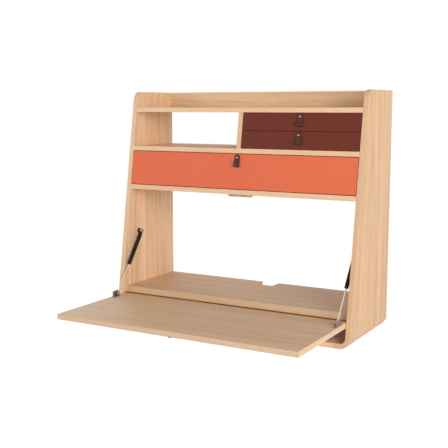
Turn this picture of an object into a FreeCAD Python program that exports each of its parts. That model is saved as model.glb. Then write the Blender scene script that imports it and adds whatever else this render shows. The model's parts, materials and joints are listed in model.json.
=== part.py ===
import FreeCAD, Part
import Sketcher
import math
import operator
import os

# Fold-down wall desk.  X is the width, -Y points away from the wall, +Z is up.
# Heights below are counted from the underside of the desk; place() moves every piece so that
# the origin is the centre of the wall screws, on the rear plane of the hanging rail.

doc = FreeCAD.newDocument("wall_desk")

DIMENSIONS = {
    # carcase
    "width": 1000,                  # over both sides
    "depth_bottom": 396,            # wall to front edge at the floor of the desk
    "depth_top": 252,               # wall to front edge at the top
    "board": 18,                    # sides, floor and shelves
    "bend_radius": 19,              # inside radius of the bent bottom corners
    "foot": 60,                     # bent foot of a side, measured from its outer face
    "top_corner": 38,               # rounding of the sides' top front corners
    "edge_ease": 0.8,               # rounding of the long visible edges
    "slot_height": 77,              # open slot under the desktop
    "storage_height": 395,          # clear height over the desktop
    "wide_bay_height": 136,
    "small_bay_height": 135,
    "lip_height": 63,               # rear rail over the top shelf
    "rail_board": 18,
    "divider_board": 18,
    "hanging_rail_height": 100,
    "wall_screw_hole": 5.5,         # diameter
    "wall_screw_span": 800,
    "wall_screw_rise": 50,
    "dowel": 8,                     # diameter
    "dowel_long": 30,
    "dowel_fit": 0.05,              # radial
    "dowel_in_side": 10,            # depth in the board it enters squarely
    "shelf_dowel_back": 45,         # wall to the dowels of a shelf
    "shelf_dowel_front": 190,
    "desktop_dowel_front": 300,
    "floor_dowel_front": 340,
    "rail_dowel_rise": 30,          # above and below the hanging rail's middle
    # fixed desktop
    "desktop_board": 22,
    "desktop_setback": 16.2,        # hinge axis to the desktop's front edge
    "notch_width": 75,
    "notch_depth": 60,
    "notch_corner": 6,
    # leaf and hinge
    "leaf_board": 19.5,
    "leaf_side_gap": 1.5,
    "leaf_top_gap": 1.5,            # closed leaf to the shelf above it
    "axis_drop": 1,                 # hinge axis under the desktop's underside
    "axis_lift": 1,                 # hinge axis over the leaf's top face
    "hinge_gap": 1.2,               # wood to hinge axis, each side
    "hinge_sheet": 1,
    "hinge_flap": 17,
    "barrel": 5,                    # outer diameter of the hinge knuckles
    "hinge_pin": 3,                 # diameter
    "hinge_fit": 0.06,              # radial, pin in knuckle
    "hinge_end_gap": 0.5,           # end of the leaf to the end of the hinge
    "knuckle_count": 32,
    "knuckle_gap": 0.3,
    "barrel_room": 0.5,             # wood kept off the knuckles
    "hinge_rail_depth": 40,
    "hinge_rail_height": 22,
    "hinge_screw_end": 60,          # end of the hinge to its first screw
    "hinge_screw_drop": 10.5,       # hinge axis to the screws
    "hinge_screw_count": 8,
    # catch
    "catch_width": 106,
    "catch_height": 12.5,
    "catch_depth": 13,
    "catch_bevel": 5,
    "catch_setback": 41,            # shelf's front edge to the block
    "magnet_width": 26,
    "magnet_height": 10.5,
    "magnet_gap": 0.5,
    "strike_sheet": 1.5,
    "strike_height": 8,
    "strike_inset": 1.5,            # free edge of the leaf to the plate
    "strike_fit": 0.1,              # round the plate in its recess
    # stays
    "stay_inset": 14.5,               # side's inner face to the stay's plane
    "stay_reach": 70,               # hinge axis to lower pivot, along the leaf
    "stay_lift": 7,                 # lower pivot over the hinge axis
    "stay_back": 101,                # upper pivot behind the hinge axis
    "stay_rise": 239.5,             # upper pivot over the hinge axis
    "tube": 15,                     # diameter
    "tube_wall": 1.5,
    "tube_long": 141,
    "tube_neck": 14,                # pivot to the closed end of the tube
    "shoulder": 10,                 # diameter between eye and tube
    "collar": 8.5,                  # diameter between eye and rod
    "collar_long": 13,              # lower pivot to the collar's upper end
    "rod": 6,                       # diameter
    "piston_long": 7,
    "piston_rest": 4,               # piston to the tube's lower cap when open
    "cap": 4,                       # thickness of both ends of the tube
    "slide_fit": 0.08,              # radial, rod in cap and piston in tube
    "eye": 15,                      # diameter of the pivot eyes
    "eye_thick": 10,
    "stud": 6,                      # diameter
    "stud_head": 9,
    "stud_head_thick": 3.5,
    "stud_fit": 0.05,               # radial
    "pivot_gap": 0.3,               # eye to bracket, along the pivot
    "bracket_sheet": 2.5,
    "bracket_flange": 22,           # diameter of the upper bracket's flange
    "bracket_thread": 5,            # diameter of its wood-screw end
    "bracket_thread_long": 13,
    "ear_reach": 30,                # lower bracket's foot forward of its pivot
    "ear_front": 23,                # its ear forward of the pivot
    "ear_back": 19,                 # and behind it
    "ear_tall": 22,
    "ear_corner": 5.4,              # rounding of the ear's top corners
    "ear_gap": 1.5,                 # lower bracket's foot to the eye
    "ear_screw_inset": 5.5,
    "ear_screw_pitch": 12,
    "foot_wide": 13,
    "screw": 3.5,                   # diameter
    "screw_head": 6.6,
    "screw_long": 14,
    "screw_fit": 0.05,              # radial
    # drawers
    "wide_front_gap": 2.5,
    "small_front_gap": 1.5,
    "front_board": 16,
    "front_recess": 1.5,
    "box_side": 12,
    "box_floor": 5,
    "floor_groove": 5,
    "floor_rise": 8,                # box floor over the lower edge of the box
    "floor_fit": 0.1,
    "slide_room": 13,               # bay wall to drawer box
    "slide_sheet": 1.2,
    "slide_height": 32,
    "slide_setback": 18,            # back of the drawer front to the slides
    "slide_reach": 10,              # width of each member
    "slide_gap": 0.3,
    "wide_box_height": 98,
    "wide_box_rise": 14,
    "wide_box_back": 45,            # wall to the back of the drawer box
    "small_box_height": 46,
    "small_box_rise": 7,
    "small_box_back": 28,
    # leather pulls
    "pull_tall": 49,
    "pull_head": 17.5,              # width at the rivet
    "pull_foot": 22,                # width at the lower end
    "pull_thick_head": 5,
    "pull_thick_foot": 11,
    "pull_head_flat": 0.7,          # left between the roundings at the rivet end
    "pull_foot_round": 4,
    "pull_taper": 40,               # length over which the pull thickens
    "rivet_drop": 12.5,             # pull's upper end to the rivet
    "rivet": 3,                     # diameter of the shank
    "rivet_head": 7.5,
    "rivet_dome": 1.6,
    "rivet_rim": 0.4,               # upright edge of the domed head
    "rivet_crown": 4.5,             # flat at the top of the dome
    "rivet_washer": 10,
    "rivet_washer_thick": 0.8,
    "rivet_fit": 0.05,
    "leaf_rivet_depth": 13,         # blind in the leaf
    "wide_pull_drop": 1.5,          # front's top edge to the pull
    "small_pull_drop": 1.5,
    "leaf_pull_edge": 8,            # free edge of the leaf to the pull
    # how far a cutting or joining shape runs past the face it crosses
    "overrun": 1,
}

TOLERANCE = 0.01        # mm, for finding edges by their place
LEAST_CUT = 1           # mm3 that a pocket must remove
SHORT_EDGE = 5          # mm, edges up to this length stay sharp

OPERATORS = {"+": operator.add, "-": operator.sub, "*": operator.mul, "/": operator.truediv}


class Size:
    """A length or ratio: its number and the spreadsheet expression that gives it."""

    def __init__(self, value, text):
        self.value = float(value)
        self.text = text

    def join(self, sign, other, flip=False):
        other = other if isinstance(other, Size) else Size(other, f"({other})")
        left, right = (other, self) if flip else (self, other)
        return Size(OPERATORS[sign](left.value, right.value), f"({left.text} {sign} {right.text})")

    def __add__(self, other):
        return self.join("+", other)

    def __radd__(self, other):
        return self.join("+", other, flip=True)

    def __sub__(self, other):
        return self.join("-", other)

    def __rsub__(self, other):
        return self.join("-", other, flip=True)

    def __mul__(self, other):
        return self.join("*", other)

    def __rmul__(self, other):
        return self.join("*", other, flip=True)

    def __truediv__(self, other):
        return self.join("/", other)

    def __rtruediv__(self, other):
        return self.join("/", other, flip=True)

    def __neg__(self):
        return 0 - self

    def __float__(self):
        return self.value


def root(size):
    return Size(math.sqrt(size.value), f"sqrt({size.text})")


sheet = doc.addObject("Spreadsheet::Sheet", "Sizes")
for row, (alias, number) in enumerate(DIMENSIONS.items(), start=1):
    sheet.set(f"A{row}", alias)
    sheet.set(f"B{row}", str(number))
    sheet.setAlias(f"B{row}", alias)
doc.recompute()


class Sheet:
    """Gives each alias of the sheet as a Size."""

    def __getattr__(self, alias):
        return Size(sheet.get(alias), f"Sizes.{alias}")


S = Sheet()
ZERO = Size(0, "0")

# Levels, from the floor of the desk upwards
DESK_UNDER = S.board + S.slot_height
DESK_TOP = DESK_UNDER + S.desktop_board
LOW_UNDER = DESK_TOP + S.storage_height
LOW_TOP = LOW_UNDER + S.board
MID_UNDER = LOW_TOP + S.wide_bay_height
MID_TOP = MID_UNDER + S.board
TOP_UNDER = MID_TOP + S.small_bay_height
TOP_TOP = TOP_UNDER + S.board
HEIGHT = TOP_TOP + S.lip_height
ORIGIN_HEIGHT = MID_UNDER - S.hanging_rail_height / 2

# The sides lean back: horizontal run per unit of height, and the two parts of its unit vector
LEAN = (S.depth_bottom - S.depth_top) / HEIGHT
UPRIGHT = 1 / root(1 + LEAN * LEAN)
TILT = LEAN * UPRIGHT
LEAN_ANGLE = math.degrees(math.atan(LEAN.value))

INNER = S.width / 2 - S.board           # half of the width between the sides
HINGE_Z = DESK_UNDER - S.axis_drop
LEAF_TOP = HINGE_Z - S.axis_lift


def front_y(z, behind=0):
    """Y of the leaning front at height z, or of a plane that lies behind it, square to it."""
    return -(S.depth_bottom - LEAN * z) + behind / UPRIGHT


HINGE_Y = front_y(HINGE_Z, S.leaf_board + S.axis_lift)
LEAF_REACH = (LOW_UNDER - S.leaf_top_gap - HINGE_Z - (S.leaf_board + S.axis_lift) * TILT) / UPRIGHT
LEAF_END = HINGE_Y - LEAF_REACH
LEAF_WIDTH = 2 * (INNER - S.leaf_side_gap)
DESKTOP_DEPTH = -HINGE_Y - S.desktop_setback

STAY_X = INNER - S.stay_inset
LOW_PIVOT_Y = HINGE_Y - S.stay_reach
LOW_PIVOT_Z = HINGE_Z + S.stay_lift
HIGH_PIVOT_Y = HINGE_Y + S.stay_back
HIGH_PIVOT_Z = HINGE_Z + S.stay_rise
STAY_RUN = HIGH_PIVOT_Y - LOW_PIVOT_Y
STAY_CLIMB = HIGH_PIVOT_Z - LOW_PIVOT_Z
STAY_LONG = root(STAY_RUN * STAY_RUN + STAY_CLIMB * STAY_CLIMB)
STAY_ANGLE = -math.degrees(math.atan2(STAY_RUN.value, STAY_CLIMB.value))

nodes = []
X_AXIS = FreeCAD.Vector(1, 0, 0)
ALONG_X = FreeCAD.Rotation(FreeCAD.Vector(0, 1, 0), 90)
ALONG_Y = FreeCAD.Rotation(FreeCAD.Vector(1, 0, 0), -90)
UPWARD = FreeCAD.Rotation()


# ---- small tools -------------------------------------------------------------------------

def vector(x, y, z):
    """A point given in desk heights, in the frame of the wall screws."""
    return FreeCAD.Vector(float(x), float(y), float(z) - ORIGIN_HEIGHT.value)


def place(obj, x, y, z, turn=UPWARD):
    obj.Placement = FreeCAD.Placement(vector(x, y, z), turn)
    return obj


def bind(obj, prop, size):
    obj.setExpression(prop, size.text)


def as_size(number):
    return number if isinstance(number, Size) else Size(number, f"({number})")


def node(obj, name):
    """Marks an object as a finished piece under its own name."""
    obj.Label = name
    nodes.append(obj)
    return obj


def new_body(name):
    return doc.addObject("PartDesign::Body", name)


def new_sketch(body, role, name):
    sketch = body.newObject("Sketcher::SketchObject", name)
    plane = next(f for f in body.Origin.OriginFeatures if f.Role == role)
    sketch.AttachmentSupport = [(plane, "")]
    sketch.MapMode = "FlatFace"
    return sketch


def hold(sketch, index, point, corner):
    """Fixes one point of a sketch's geometry at bound distances from its origin."""
    for kind, size in zip(("DistanceX", "DistanceY"), corner):
        size = as_size(size)
        number = sketch.addConstraint(Sketcher.Constraint(kind, -1, 1, index, point, size.value))
        sketch.setExpression(f"Constraints[{number}]", size.text)


def polygon(body, role, name, corners):
    """A closed outline through the corners, each a pair of sizes."""
    sketch = new_sketch(body, role, name)
    points = [FreeCAD.Vector(float(a), float(b), 0) for a, b in corners]
    for start, end in zip(points, points[1:] + points[:1]):
        sketch.addGeometry(Part.LineSegment(start, end), False)
    for index in range(len(points)):
        following = (index + 1) % len(points)
        sketch.addConstraint(Sketcher.Constraint("Coincident", index, 2, following, 1))
    for index, corner in enumerate(corners):
        hold(sketch, index, 1, corner)
    return sketch


def circles(body, role, name, centres, diameter):
    sketch = new_sketch(body, role, name)
    for index, (a, b) in enumerate(centres):
        centre = FreeCAD.Vector(float(a), float(b), 0)
        sketch.addGeometry(Part.Circle(centre, FreeCAD.Vector(0, 0, 1), diameter.value / 2), False)
        hold(sketch, index, 3, (a, b))
        number = sketch.addConstraint(Sketcher.Constraint("Diameter", index, diameter.value))
        sketch.setExpression(f"Constraints[{number}]", diameter.text)
    return sketch


def pad(body, sketch, length):
    feature = body.newObject("PartDesign::Pad", body.Name + "_pad")
    feature.Profile = sketch
    bind(feature, "Length", as_size(length))
    body.Tip = feature
    doc.recompute()
    return feature


def pocket(body, sketch, depth=None, reverse=False):
    """Cuts a sketch through the whole body both ways, or to a depth; it must remove material."""
    before = body.Tip.Shape.Volume
    feature = body.newObject("PartDesign::Pocket", body.Name + "_pocket")
    feature.Profile = sketch
    feature.Reversed = reverse
    if depth is None:
        feature.Type = "ThroughAll"
        feature.Midplane = True
    else:
        bind(feature, "Length", as_size(depth))
    body.Tip = feature
    doc.recompute()
    if feature.Shape.Volume > before - LEAST_CUT:
        raise RuntimeError(f"{feature.Name} cuts nothing")
    return feature


def round_edges(body, radius, chosen):
    """Rounds the edges of a body's last feature whose middle point is chosen."""
    base = body.Tip
    names = [
        f"Edge{number}"
        for number, edge in enumerate(base.Shape.Edges, start=1)
        if chosen(edge.BoundBox.Center, edge)
    ]
    if not names:
        raise RuntimeError(f"{body.Name} has no such edges")
    feature = body.newObject("PartDesign::Fillet", body.Name + "_fillet")
    feature.Base = (base, names)
    bind(feature, "Radius", as_size(radius))
    body.Tip = feature
    doc.recompute()
    return feature


def near(a, b):
    return abs(float(a) - float(b)) < TOLERANCE


def runs_along(edge, axis):
    """True for a straight edge that runs along X (0), Y (1) or Z (2)."""
    box = edge.BoundBox
    lengths = (box.XLength, box.YLength, box.ZLength)
    return all(length < TOLERANCE for n, length in enumerate(lengths) if n != axis)


def board(name, corners, thick, x=0, y=0, z=0, role="YZ_Plane"):
    """A board: its outline in the plane of the sketch, padded by its thickness or length."""
    body = new_body(name)
    pad(body, polygon(body, role, name + "_outline", corners), thick)
    place(body, x, y, z)
    return body


def ease_front(body, y_limit):
    """Rounds the long front edges of a board that lies across the desk."""
    def long_front(middle, edge):
        return runs_along(edge, 0) and edge.Length > SHORT_EDGE and middle.y < float(y_limit)

    round_edges(body, S.edge_ease, long_front)


def cylinder(name, diameter, length, x, y, z, turn=UPWARD):
    obj = doc.addObject("Part::Cylinder", name)
    bind(obj, "Radius", as_size(diameter) / 2)
    bind(obj, "Height", as_size(length))
    return place(obj, x, y, z, turn)


def block(name, length, depth, tall, x, y, z):
    obj = doc.addObject("Part::Box", name)
    for prop, size in (("Length", length), ("Width", depth), ("Height", tall)):
        bind(obj, prop, as_size(size))
    return place(obj, x, y, z)


def fuse(name, shapes):
    obj = doc.addObject("Part::MultiFuse", name)
    obj.Shapes = shapes
    return obj


def cut(name, base, tool):
    obj = doc.addObject("Part::Cut", name)
    obj.Base = base
    obj.Tool = tool
    return obj


def group(name, shapes):
    obj = doc.addObject("Part::Compound", name)
    obj.Links = shapes
    return obj


def mirrored(name, source, x=0):
    obj = doc.addObject("Part::Mirroring", name)
    obj.Source = source
    obj.Normal = X_AXIS
    obj.Base = FreeCAD.Vector(float(x), 0, 0)
    return obj


# ---- dowels and screws -------------------------------------------------------------------

def dowel_points():
    """Where each carcase dowel of the right-hand joints starts: joint plane, Y and height."""
    points = []
    for level in (LOW_UNDER, MID_UNDER, TOP_UNDER):
        for back in (S.shelf_dowel_back, S.shelf_dowel_front):
            points.append((INNER, -back, level + S.board / 2))
    for back in (S.shelf_dowel_back, S.desktop_dowel_front):
        points.append((INNER, -back, DESK_UNDER + S.desktop_board / 2))
    points.append((INNER, -S.rail_board / 2, HEIGHT - S.lip_height / 2))
    for rise in (-S.rail_dowel_rise, S.rail_dowel_rise):
        points.append((INNER, -S.rail_board / 2, ORIGIN_HEIGHT + rise))
    points.append((INNER, HINGE_Y + S.hinge_gap + S.hinge_rail_depth / 2,
                   DESK_UNDER - S.hinge_rail_height / 2))
    for back in (S.shelf_dowel_back, S.shelf_dowel_front, S.floor_dowel_front):
        points.append((S.width / 2 - S.foot, -back, S.board / 2))
    return points


def carcase_dowels(name, extra):
    """The dowels of both ends and of the divider, separate solids, with extra all round."""
    diameter = S.dowel + 2 * extra
    reach = S.dowel_long + 2 * extra
    entry = S.dowel_in_side + extra
    wanted = []
    for number, (x, y, z) in enumerate(dowel_points()):
        for side, start in (("right", x - reach + entry), ("left", -x - entry)):
            wanted.append(cylinder(f"{name}_{side}_{number}", diameter, reach, start, y, z, ALONG_X))
    for back in (S.shelf_dowel_back, S.shelf_dowel_front):
        wanted.append(cylinder(name + "_low", diameter, reach, 0, -back, MID_TOP - entry))
        wanted.append(cylinder(name + "_high", diameter, reach, 0, -back, TOP_UNDER + entry - reach))
    return group(name, wanted)


def flat_screws(name, points, turn, extra, long=S.screw_long):
    """Countersunk screws with the face of the head at each point, driven along the turned Z."""
    screws = []
    drive = turn.multVec(FreeCAD.Vector(0, 0, 1))
    head_long = (S.screw_head - S.screw) / 2
    for number, (x, y, z) in enumerate(points):
        head = doc.addObject("Part::Cone", f"{name}_head_{number}")
        bind(head, "Radius1", S.screw_head / 2 + extra)
        bind(head, "Radius2", S.screw / 2 + extra)
        bind(head, "Height", head_long)
        place(head, x, y, z, turn)
        shank = cylinder(f"{name}_shank_{number}", S.screw + 2 * extra, long + extra, x, y, z, turn)
        screws.append(fuse(f"{name}_{number}", [head, shank]))
    return group(name, screws)


# ---- carcase -----------------------------------------------------------------------------

def side_panel():
    """Right-hand side: an upright board that bends into a short foot, with a leaning front."""
    body = new_body("side")
    half = S.width / 2
    outline = [(half - S.foot, 0), (half, 0), (half, HEIGHT), (INNER, HEIGHT),
               (INNER, S.board), (half - S.foot, S.board)]
    pad(body, polygon(body, "XZ_Plane", "side_outline", outline), S.depth_bottom)
    round_edges(body, S.bend_radius, lambda p, e: near(p.x, INNER) and near(p.z, S.board))
    round_edges(body, S.bend_radius + S.board, lambda p, e: near(p.x, half) and near(p.z, 0))
    waste = [(front_y(0), 0), (front_y(HEIGHT), HEIGHT), (front_y(0), HEIGHT)]
    pocket(body, polygon(body, "YZ_Plane", "side_waste", waste))
    round_edges(body, S.top_corner,
                lambda p, e: runs_along(e, 0) and near(p.z, HEIGHT) and near(p.y, front_y(HEIGHT)))
    round_edges(body, S.edge_ease, lambda p, e: not near(p.y, 0) and not runs_along(e, 0)
                and not near(p.x, half - S.foot))
    place(body, 0, 0, 0)
    return body


def bottom_board():
    outline = [(0, 0), (front_y(0), 0), (front_y(S.board), S.board), (0, S.board)]
    return board("bottom", outline, S.width - 2 * S.foot, x=-(S.width / 2 - S.foot))


def shelf(name, level):
    outline = [(0, 0), (front_y(level), 0), (front_y(level + S.board), S.board), (0, S.board)]
    body = board(name + "_board", outline, 2 * INNER, x=-INNER, z=level)
    ease_front(body, front_y(level) / 2)
    return body


def divider_board():
    outline = [(0, 0), (front_y(MID_TOP), 0), (front_y(TOP_UNDER), S.small_bay_height),
               (0, S.small_bay_height)]
    body = board("divider_board", outline, S.divider_board, x=-S.divider_board / 2, z=MID_TOP)
    round_edges(body, S.edge_ease,
                lambda p, e: not near(p.y, 0) and near(p.z, S.small_bay_height / 2))
    return body


def rear_rail(name, tall, level):
    outline = [(0, 0), (-S.rail_board, 0), (-S.rail_board, tall), (0, tall)]
    return board(name, outline, 2 * INNER, x=-INNER, z=level)


def hanging_rail_board():
    """The rail that hangs the desk, with four clear holes for the wall screws."""
    body = rear_rail("hanging_board", S.hanging_rail_height, MID_UNDER - S.hanging_rail_height)
    middle = S.hanging_rail_height / 2
    centres = [(INNER + across * S.wall_screw_span / 2, middle + up * S.wall_screw_rise / 2)
               for across in (-1, 1) for up in (-1, 1)]
    pocket(body, circles(body, "XZ_Plane", "wall_screw_circles", centres, S.wall_screw_hole))
    return body


def desktop_board():
    """The fixed desktop, with the cable notch in its rear edge."""
    outline = [(0, 0), (-DESKTOP_DEPTH, 0), (-DESKTOP_DEPTH, S.desktop_board),
               (0, S.desktop_board)]
    body = board("desktop_board_body", outline, 2 * INNER, x=-INNER, z=DESK_UNDER)
    left, right = INNER - S.notch_width / 2, INNER + S.notch_width / 2
    notch = [(left, 0), (right, 0), (right, -S.notch_depth), (left, -S.notch_depth)]
    pocket(body, polygon(body, "XY_Plane", "notch_outline", notch))
    round_edges(body, S.notch_corner,
                lambda p, e: runs_along(e, 2) and near(p.y, -S.notch_depth))
    ease_front(body, -DESKTOP_DEPTH / 2)
    return body


def hinge_rail_board():
    """The rail under the desktop's front that carries the hinge, cut back round the knuckles."""
    front = HINGE_Y + S.hinge_gap
    room = S.barrel / 2 + S.barrel_room
    back_y, low = front + S.hinge_rail_depth, -S.hinge_rail_height
    outline = [(back_y, low), (front, low), (front, -S.axis_drop - room),
               (HINGE_Y + room, -S.axis_drop - room), (HINGE_Y + room, 0), (back_y, 0)]
    return board("hinge_board", outline, 2 * INNER, x=-INNER, z=DESK_UNDER)


def catch_block_body():
    half, bevel = S.catch_width / 2, S.catch_bevel
    outline = [(-half, 0), (half, 0), (half - bevel, -S.catch_height), (bevel - half, -S.catch_height)]
    back = -front_y(LOW_UNDER) - S.catch_setback - S.catch_depth
    return board("catch_wood", outline, S.catch_depth, y=-back, z=LOW_UNDER, role="XZ_Plane")


def closed_face_y(z, before=0):
    """Y of the closed leaf's inner face at height z, or of a plane that stands off inside it."""
    return front_y(z, S.leaf_board + before)


def magnet_catch_body():
    """Magnet housing on the front of the block; its face is parallel to the closed leaf."""
    back = front_y(LOW_UNDER) + S.catch_setback
    low = LOW_UNDER - S.magnet_height
    outline = [(back, -S.magnet_height), (closed_face_y(low, S.magnet_gap), -S.magnet_height),
               (closed_face_y(LOW_UNDER, S.magnet_gap), 0), (back, 0)]
    return board("magnet_housing", outline, S.magnet_width, x=-S.magnet_width / 2, z=LOW_UNDER)


# ---- leaf and its hinge --------------------------------------------------------------------

def leaf_board():
    """The fold-down leaf, lying open; cut back round the knuckles at its rear top edge."""
    rear = HINGE_Y - S.hinge_gap
    room = S.barrel / 2 + S.barrel_room
    step = -(room - S.axis_lift)
    outline = [(rear, -S.leaf_board), (LEAF_END, -S.leaf_board), (LEAF_END, 0),
               (HINGE_Y - room, 0), (HINGE_Y - room, step), (rear, step)]
    body = board("leaf_wood", outline, LEAF_WIDTH, x=-LEAF_WIDTH / 2, z=LEAF_TOP)

    def free_edges(middle, edge):
        return middle.y < float(HINGE_Y - room) - TOLERANCE and edge.Length > SHORT_EDGE

    round_edges(body, S.edge_ease, free_edges)
    return body


def strike_plate(name, extra):
    """Steel plate let into the leaf by its free edge, where it meets the magnet when closed."""
    return block(name, S.magnet_width + 2 * extra, S.strike_height + 2 * extra, S.strike_sheet,
                 -S.magnet_width / 2 - extra, LEAF_END + S.strike_inset - extra,
                 LEAF_TOP - S.strike_sheet)


HINGE_LONG = LEAF_WIDTH - 2 * S.hinge_end_gap
KNUCKLE = HINGE_LONG / S.knuckle_count
HINGE_START = -HINGE_LONG / 2


def knuckle_slots(name, first):
    """Room for the other flap's knuckles: every second knuckle, from the first on."""
    size = S.barrel + 2 * S.knuckle_gap
    slots = []
    for number in range(first, int(round(S.knuckle_count.value)), 2):
        start = HINGE_START + number * KNUCKLE - S.knuckle_gap / 2
        slots.append(block(f"{name}_{number}", KNUCKLE + S.knuckle_gap, size, size,
                           start, HINGE_Y - size / 2, HINGE_Z - size / 2))
    return group(name, slots)


def hinge_flap(name, side, first):
    """One flap of the continuous hinge: a strip beside the axis, rolled into knuckles."""
    inner = S.hinge_gap - S.hinge_sheet
    start_y = HINGE_Y + inner if side > 0 else HINGE_Y - inner - S.hinge_sheet
    strip = block(name + "_strip", HINGE_LONG, S.hinge_sheet, S.hinge_flap,
                  HINGE_START, start_y, HINGE_Z - S.hinge_flap)
    roll = cylinder(name + "_roll", S.barrel, HINGE_LONG, HINGE_START, HINGE_Y, HINGE_Z, ALONG_X)
    bore = cylinder(name + "_bore", S.hinge_pin + 2 * S.hinge_fit, HINGE_LONG + 2 * S.overrun,
                    HINGE_START - S.overrun, HINGE_Y, HINGE_Z, ALONG_X)
    solid = cut(name + "_bored", fuse(name + "_whole", [strip, roll]), bore)
    return cut(name + "_knuckles", solid, knuckle_slots(name + "_slots", first))


def hinge_screw_points(y):
    count = int(round(S.hinge_screw_count.value))
    pitch = (HINGE_LONG - 2 * S.hinge_screw_end) / (count - 1)
    first = HINGE_START + S.hinge_screw_end
    return [(first + number * pitch, y, HINGE_Z - S.hinge_screw_drop) for number in range(count)]


# ---- stays ---------------------------------------------------------------------------------

STAY_TURN = FreeCAD.Rotation(X_AXIS, STAY_ANGLE)


def along_stay(distance, x=STAY_X):
    """A point on the right-hand stay's line, at a distance down from its upper pivot."""
    share = distance / STAY_LONG
    return x, HIGH_PIVOT_Y - STAY_RUN * share, HIGH_PIVOT_Z - STAY_CLIMB * share


def stay_piece(name, diameter, start, end):
    """A round piece on the stay's line between two distances from the upper pivot."""
    return cylinder(name, diameter, end - start, *along_stay(end), STAY_TURN)


EYE_WALL = (S.eye + S.stud) / 4         # radius of the middle of an eye's wall


def eye(name, diameter, y, z, thick=None, x=None):
    thick = S.eye_thick if thick is None else thick
    x = STAY_X - S.eye_thick / 2 if x is None else x
    return cylinder(name, diameter, thick, x, y, z, ALONG_X)


def eye_bore(name, y, z):
    return eye(name, S.stud + 2 * S.stud_fit, y, z, S.eye_thick + 2 * S.overrun,
               STAY_X - S.eye_thick / 2 - S.overrun)


def stay_tube():
    """Black tube with its upper eye, hollow for the piston, with a bore for the rod in its cap."""
    end = S.tube_neck + S.tube_long
    solid = fuse("tube_solid", [
        stay_piece("tube_outer", S.tube, S.tube_neck, end),
        stay_piece("tube_shoulder", S.shoulder, EYE_WALL, S.tube_neck + S.overrun),
        eye("tube_eye", S.eye, HIGH_PIVOT_Y, HIGH_PIVOT_Z),
    ])
    hollow = fuse("tube_hollow", [
        stay_piece("tube_bore", S.tube - 2 * S.tube_wall, S.tube_neck + S.cap, end - S.cap),
        stay_piece("tube_mouth", S.rod + 2 * S.slide_fit, end - S.cap - S.overrun, end + S.overrun),
        eye_bore("tube_eye_bore", HIGH_PIVOT_Y, HIGH_PIVOT_Z),
    ])
    return cut("stay_tube", solid, hollow)


def stay_rod():
    """Bright rod with its piston and lower eye."""
    piston_end = S.tube_neck + S.tube_long - S.cap - S.piston_rest
    solid = fuse("rod_solid", [
        stay_piece("rod_bar", S.rod, piston_end - S.overrun, STAY_LONG - EYE_WALL),
        stay_piece("rod_piston", S.tube - 2 * S.tube_wall - 2 * S.slide_fit,
                   piston_end - S.piston_long, piston_end),
        stay_piece("rod_collar", S.collar, STAY_LONG - S.collar_long, STAY_LONG - EYE_WALL),
        eye("rod_eye", S.eye, LOW_PIVOT_Y, LOW_PIVOT_Z),
    ])
    return cut("stay_rod", solid, eye_bore("rod_eye_bore", LOW_PIVOT_Y, LOW_PIVOT_Z))


def stay_stud(name, y, z, reach):
    """Shoulder stud: a head on the inner side of the eye and a shank towards the bracket."""
    inner = STAY_X - S.eye_thick / 2
    return fuse(name, [
        eye(name + "_head", S.stud_head, y, z, S.stud_head_thick,
            inner - S.pivot_gap - S.stud_head_thick),
        eye(name + "_shank", S.stud, y, z, S.eye_thick + S.pivot_gap + reach, inner - S.pivot_gap),
    ])


def bracket_thread(name, fit):
    """The wood-screw end of the upper bracket, or the hole for it in the side."""
    return eye(name, S.bracket_thread + 2 * fit, HIGH_PIVOT_Y, HIGH_PIVOT_Z,
               S.overrun + S.bracket_thread_long + fit, INNER - S.overrun)


def wall_bracket():
    """Screw-in bracket on the side: a round flange with a boss that faces the tube's eye."""
    start = STAY_X + S.eye_thick / 2 + S.pivot_gap
    return fuse("wall_bracket", [
        eye("bracket_plate", S.bracket_flange, HIGH_PIVOT_Y, HIGH_PIVOT_Z, S.bracket_sheet,
            INNER - S.bracket_sheet),
        eye("bracket_boss", S.eye, HIGH_PIVOT_Y, HIGH_PIVOT_Z, INNER - S.overrun - start, start),
        bracket_thread("bracket_screw_end", ZERO),
    ])


def leaf_bracket():
    """Bracket on the leaf: a foot screwed down in front of the pivot and an ear beside the eye."""
    ear = new_body("ear_plate")
    outline = [(-S.ear_reach, 0), (S.ear_back, 0), (S.ear_back, S.ear_tall),
               (-S.ear_front, S.ear_tall), (-S.ear_front, S.bracket_sheet),
               (-S.ear_reach, S.bracket_sheet)]
    pad(ear, polygon(ear, "YZ_Plane", "ear_outline", outline), S.bracket_sheet)
    round_edges(ear, S.ear_corner, lambda p, e: runs_along(e, 0) and near(p.z, S.ear_tall))
    start = STAY_X + S.eye_thick / 2 + S.pivot_gap
    place(ear, start, LOW_PIVOT_Y, LEAF_TOP)
    foot_long = S.ear_reach - S.eye / 2 - S.ear_gap
    foot = block("ear_foot", S.foot_wide + S.bracket_sheet, foot_long, S.bracket_sheet,
                 start - S.foot_wide, LOW_PIVOT_Y - S.ear_reach, LEAF_TOP)
    return fuse("leaf_bracket_solid", [ear, foot])


def leaf_bracket_screw_points():
    x = STAY_X + S.eye_thick / 2 + S.pivot_gap - S.foot_wide / 2
    first = LOW_PIVOT_Y - S.ear_reach + S.ear_screw_inset
    return [(x, first + step, LEAF_TOP + S.bracket_sheet) for step in (0, S.ear_screw_pitch)]


# ---- pulls ---------------------------------------------------------------------------------

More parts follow.
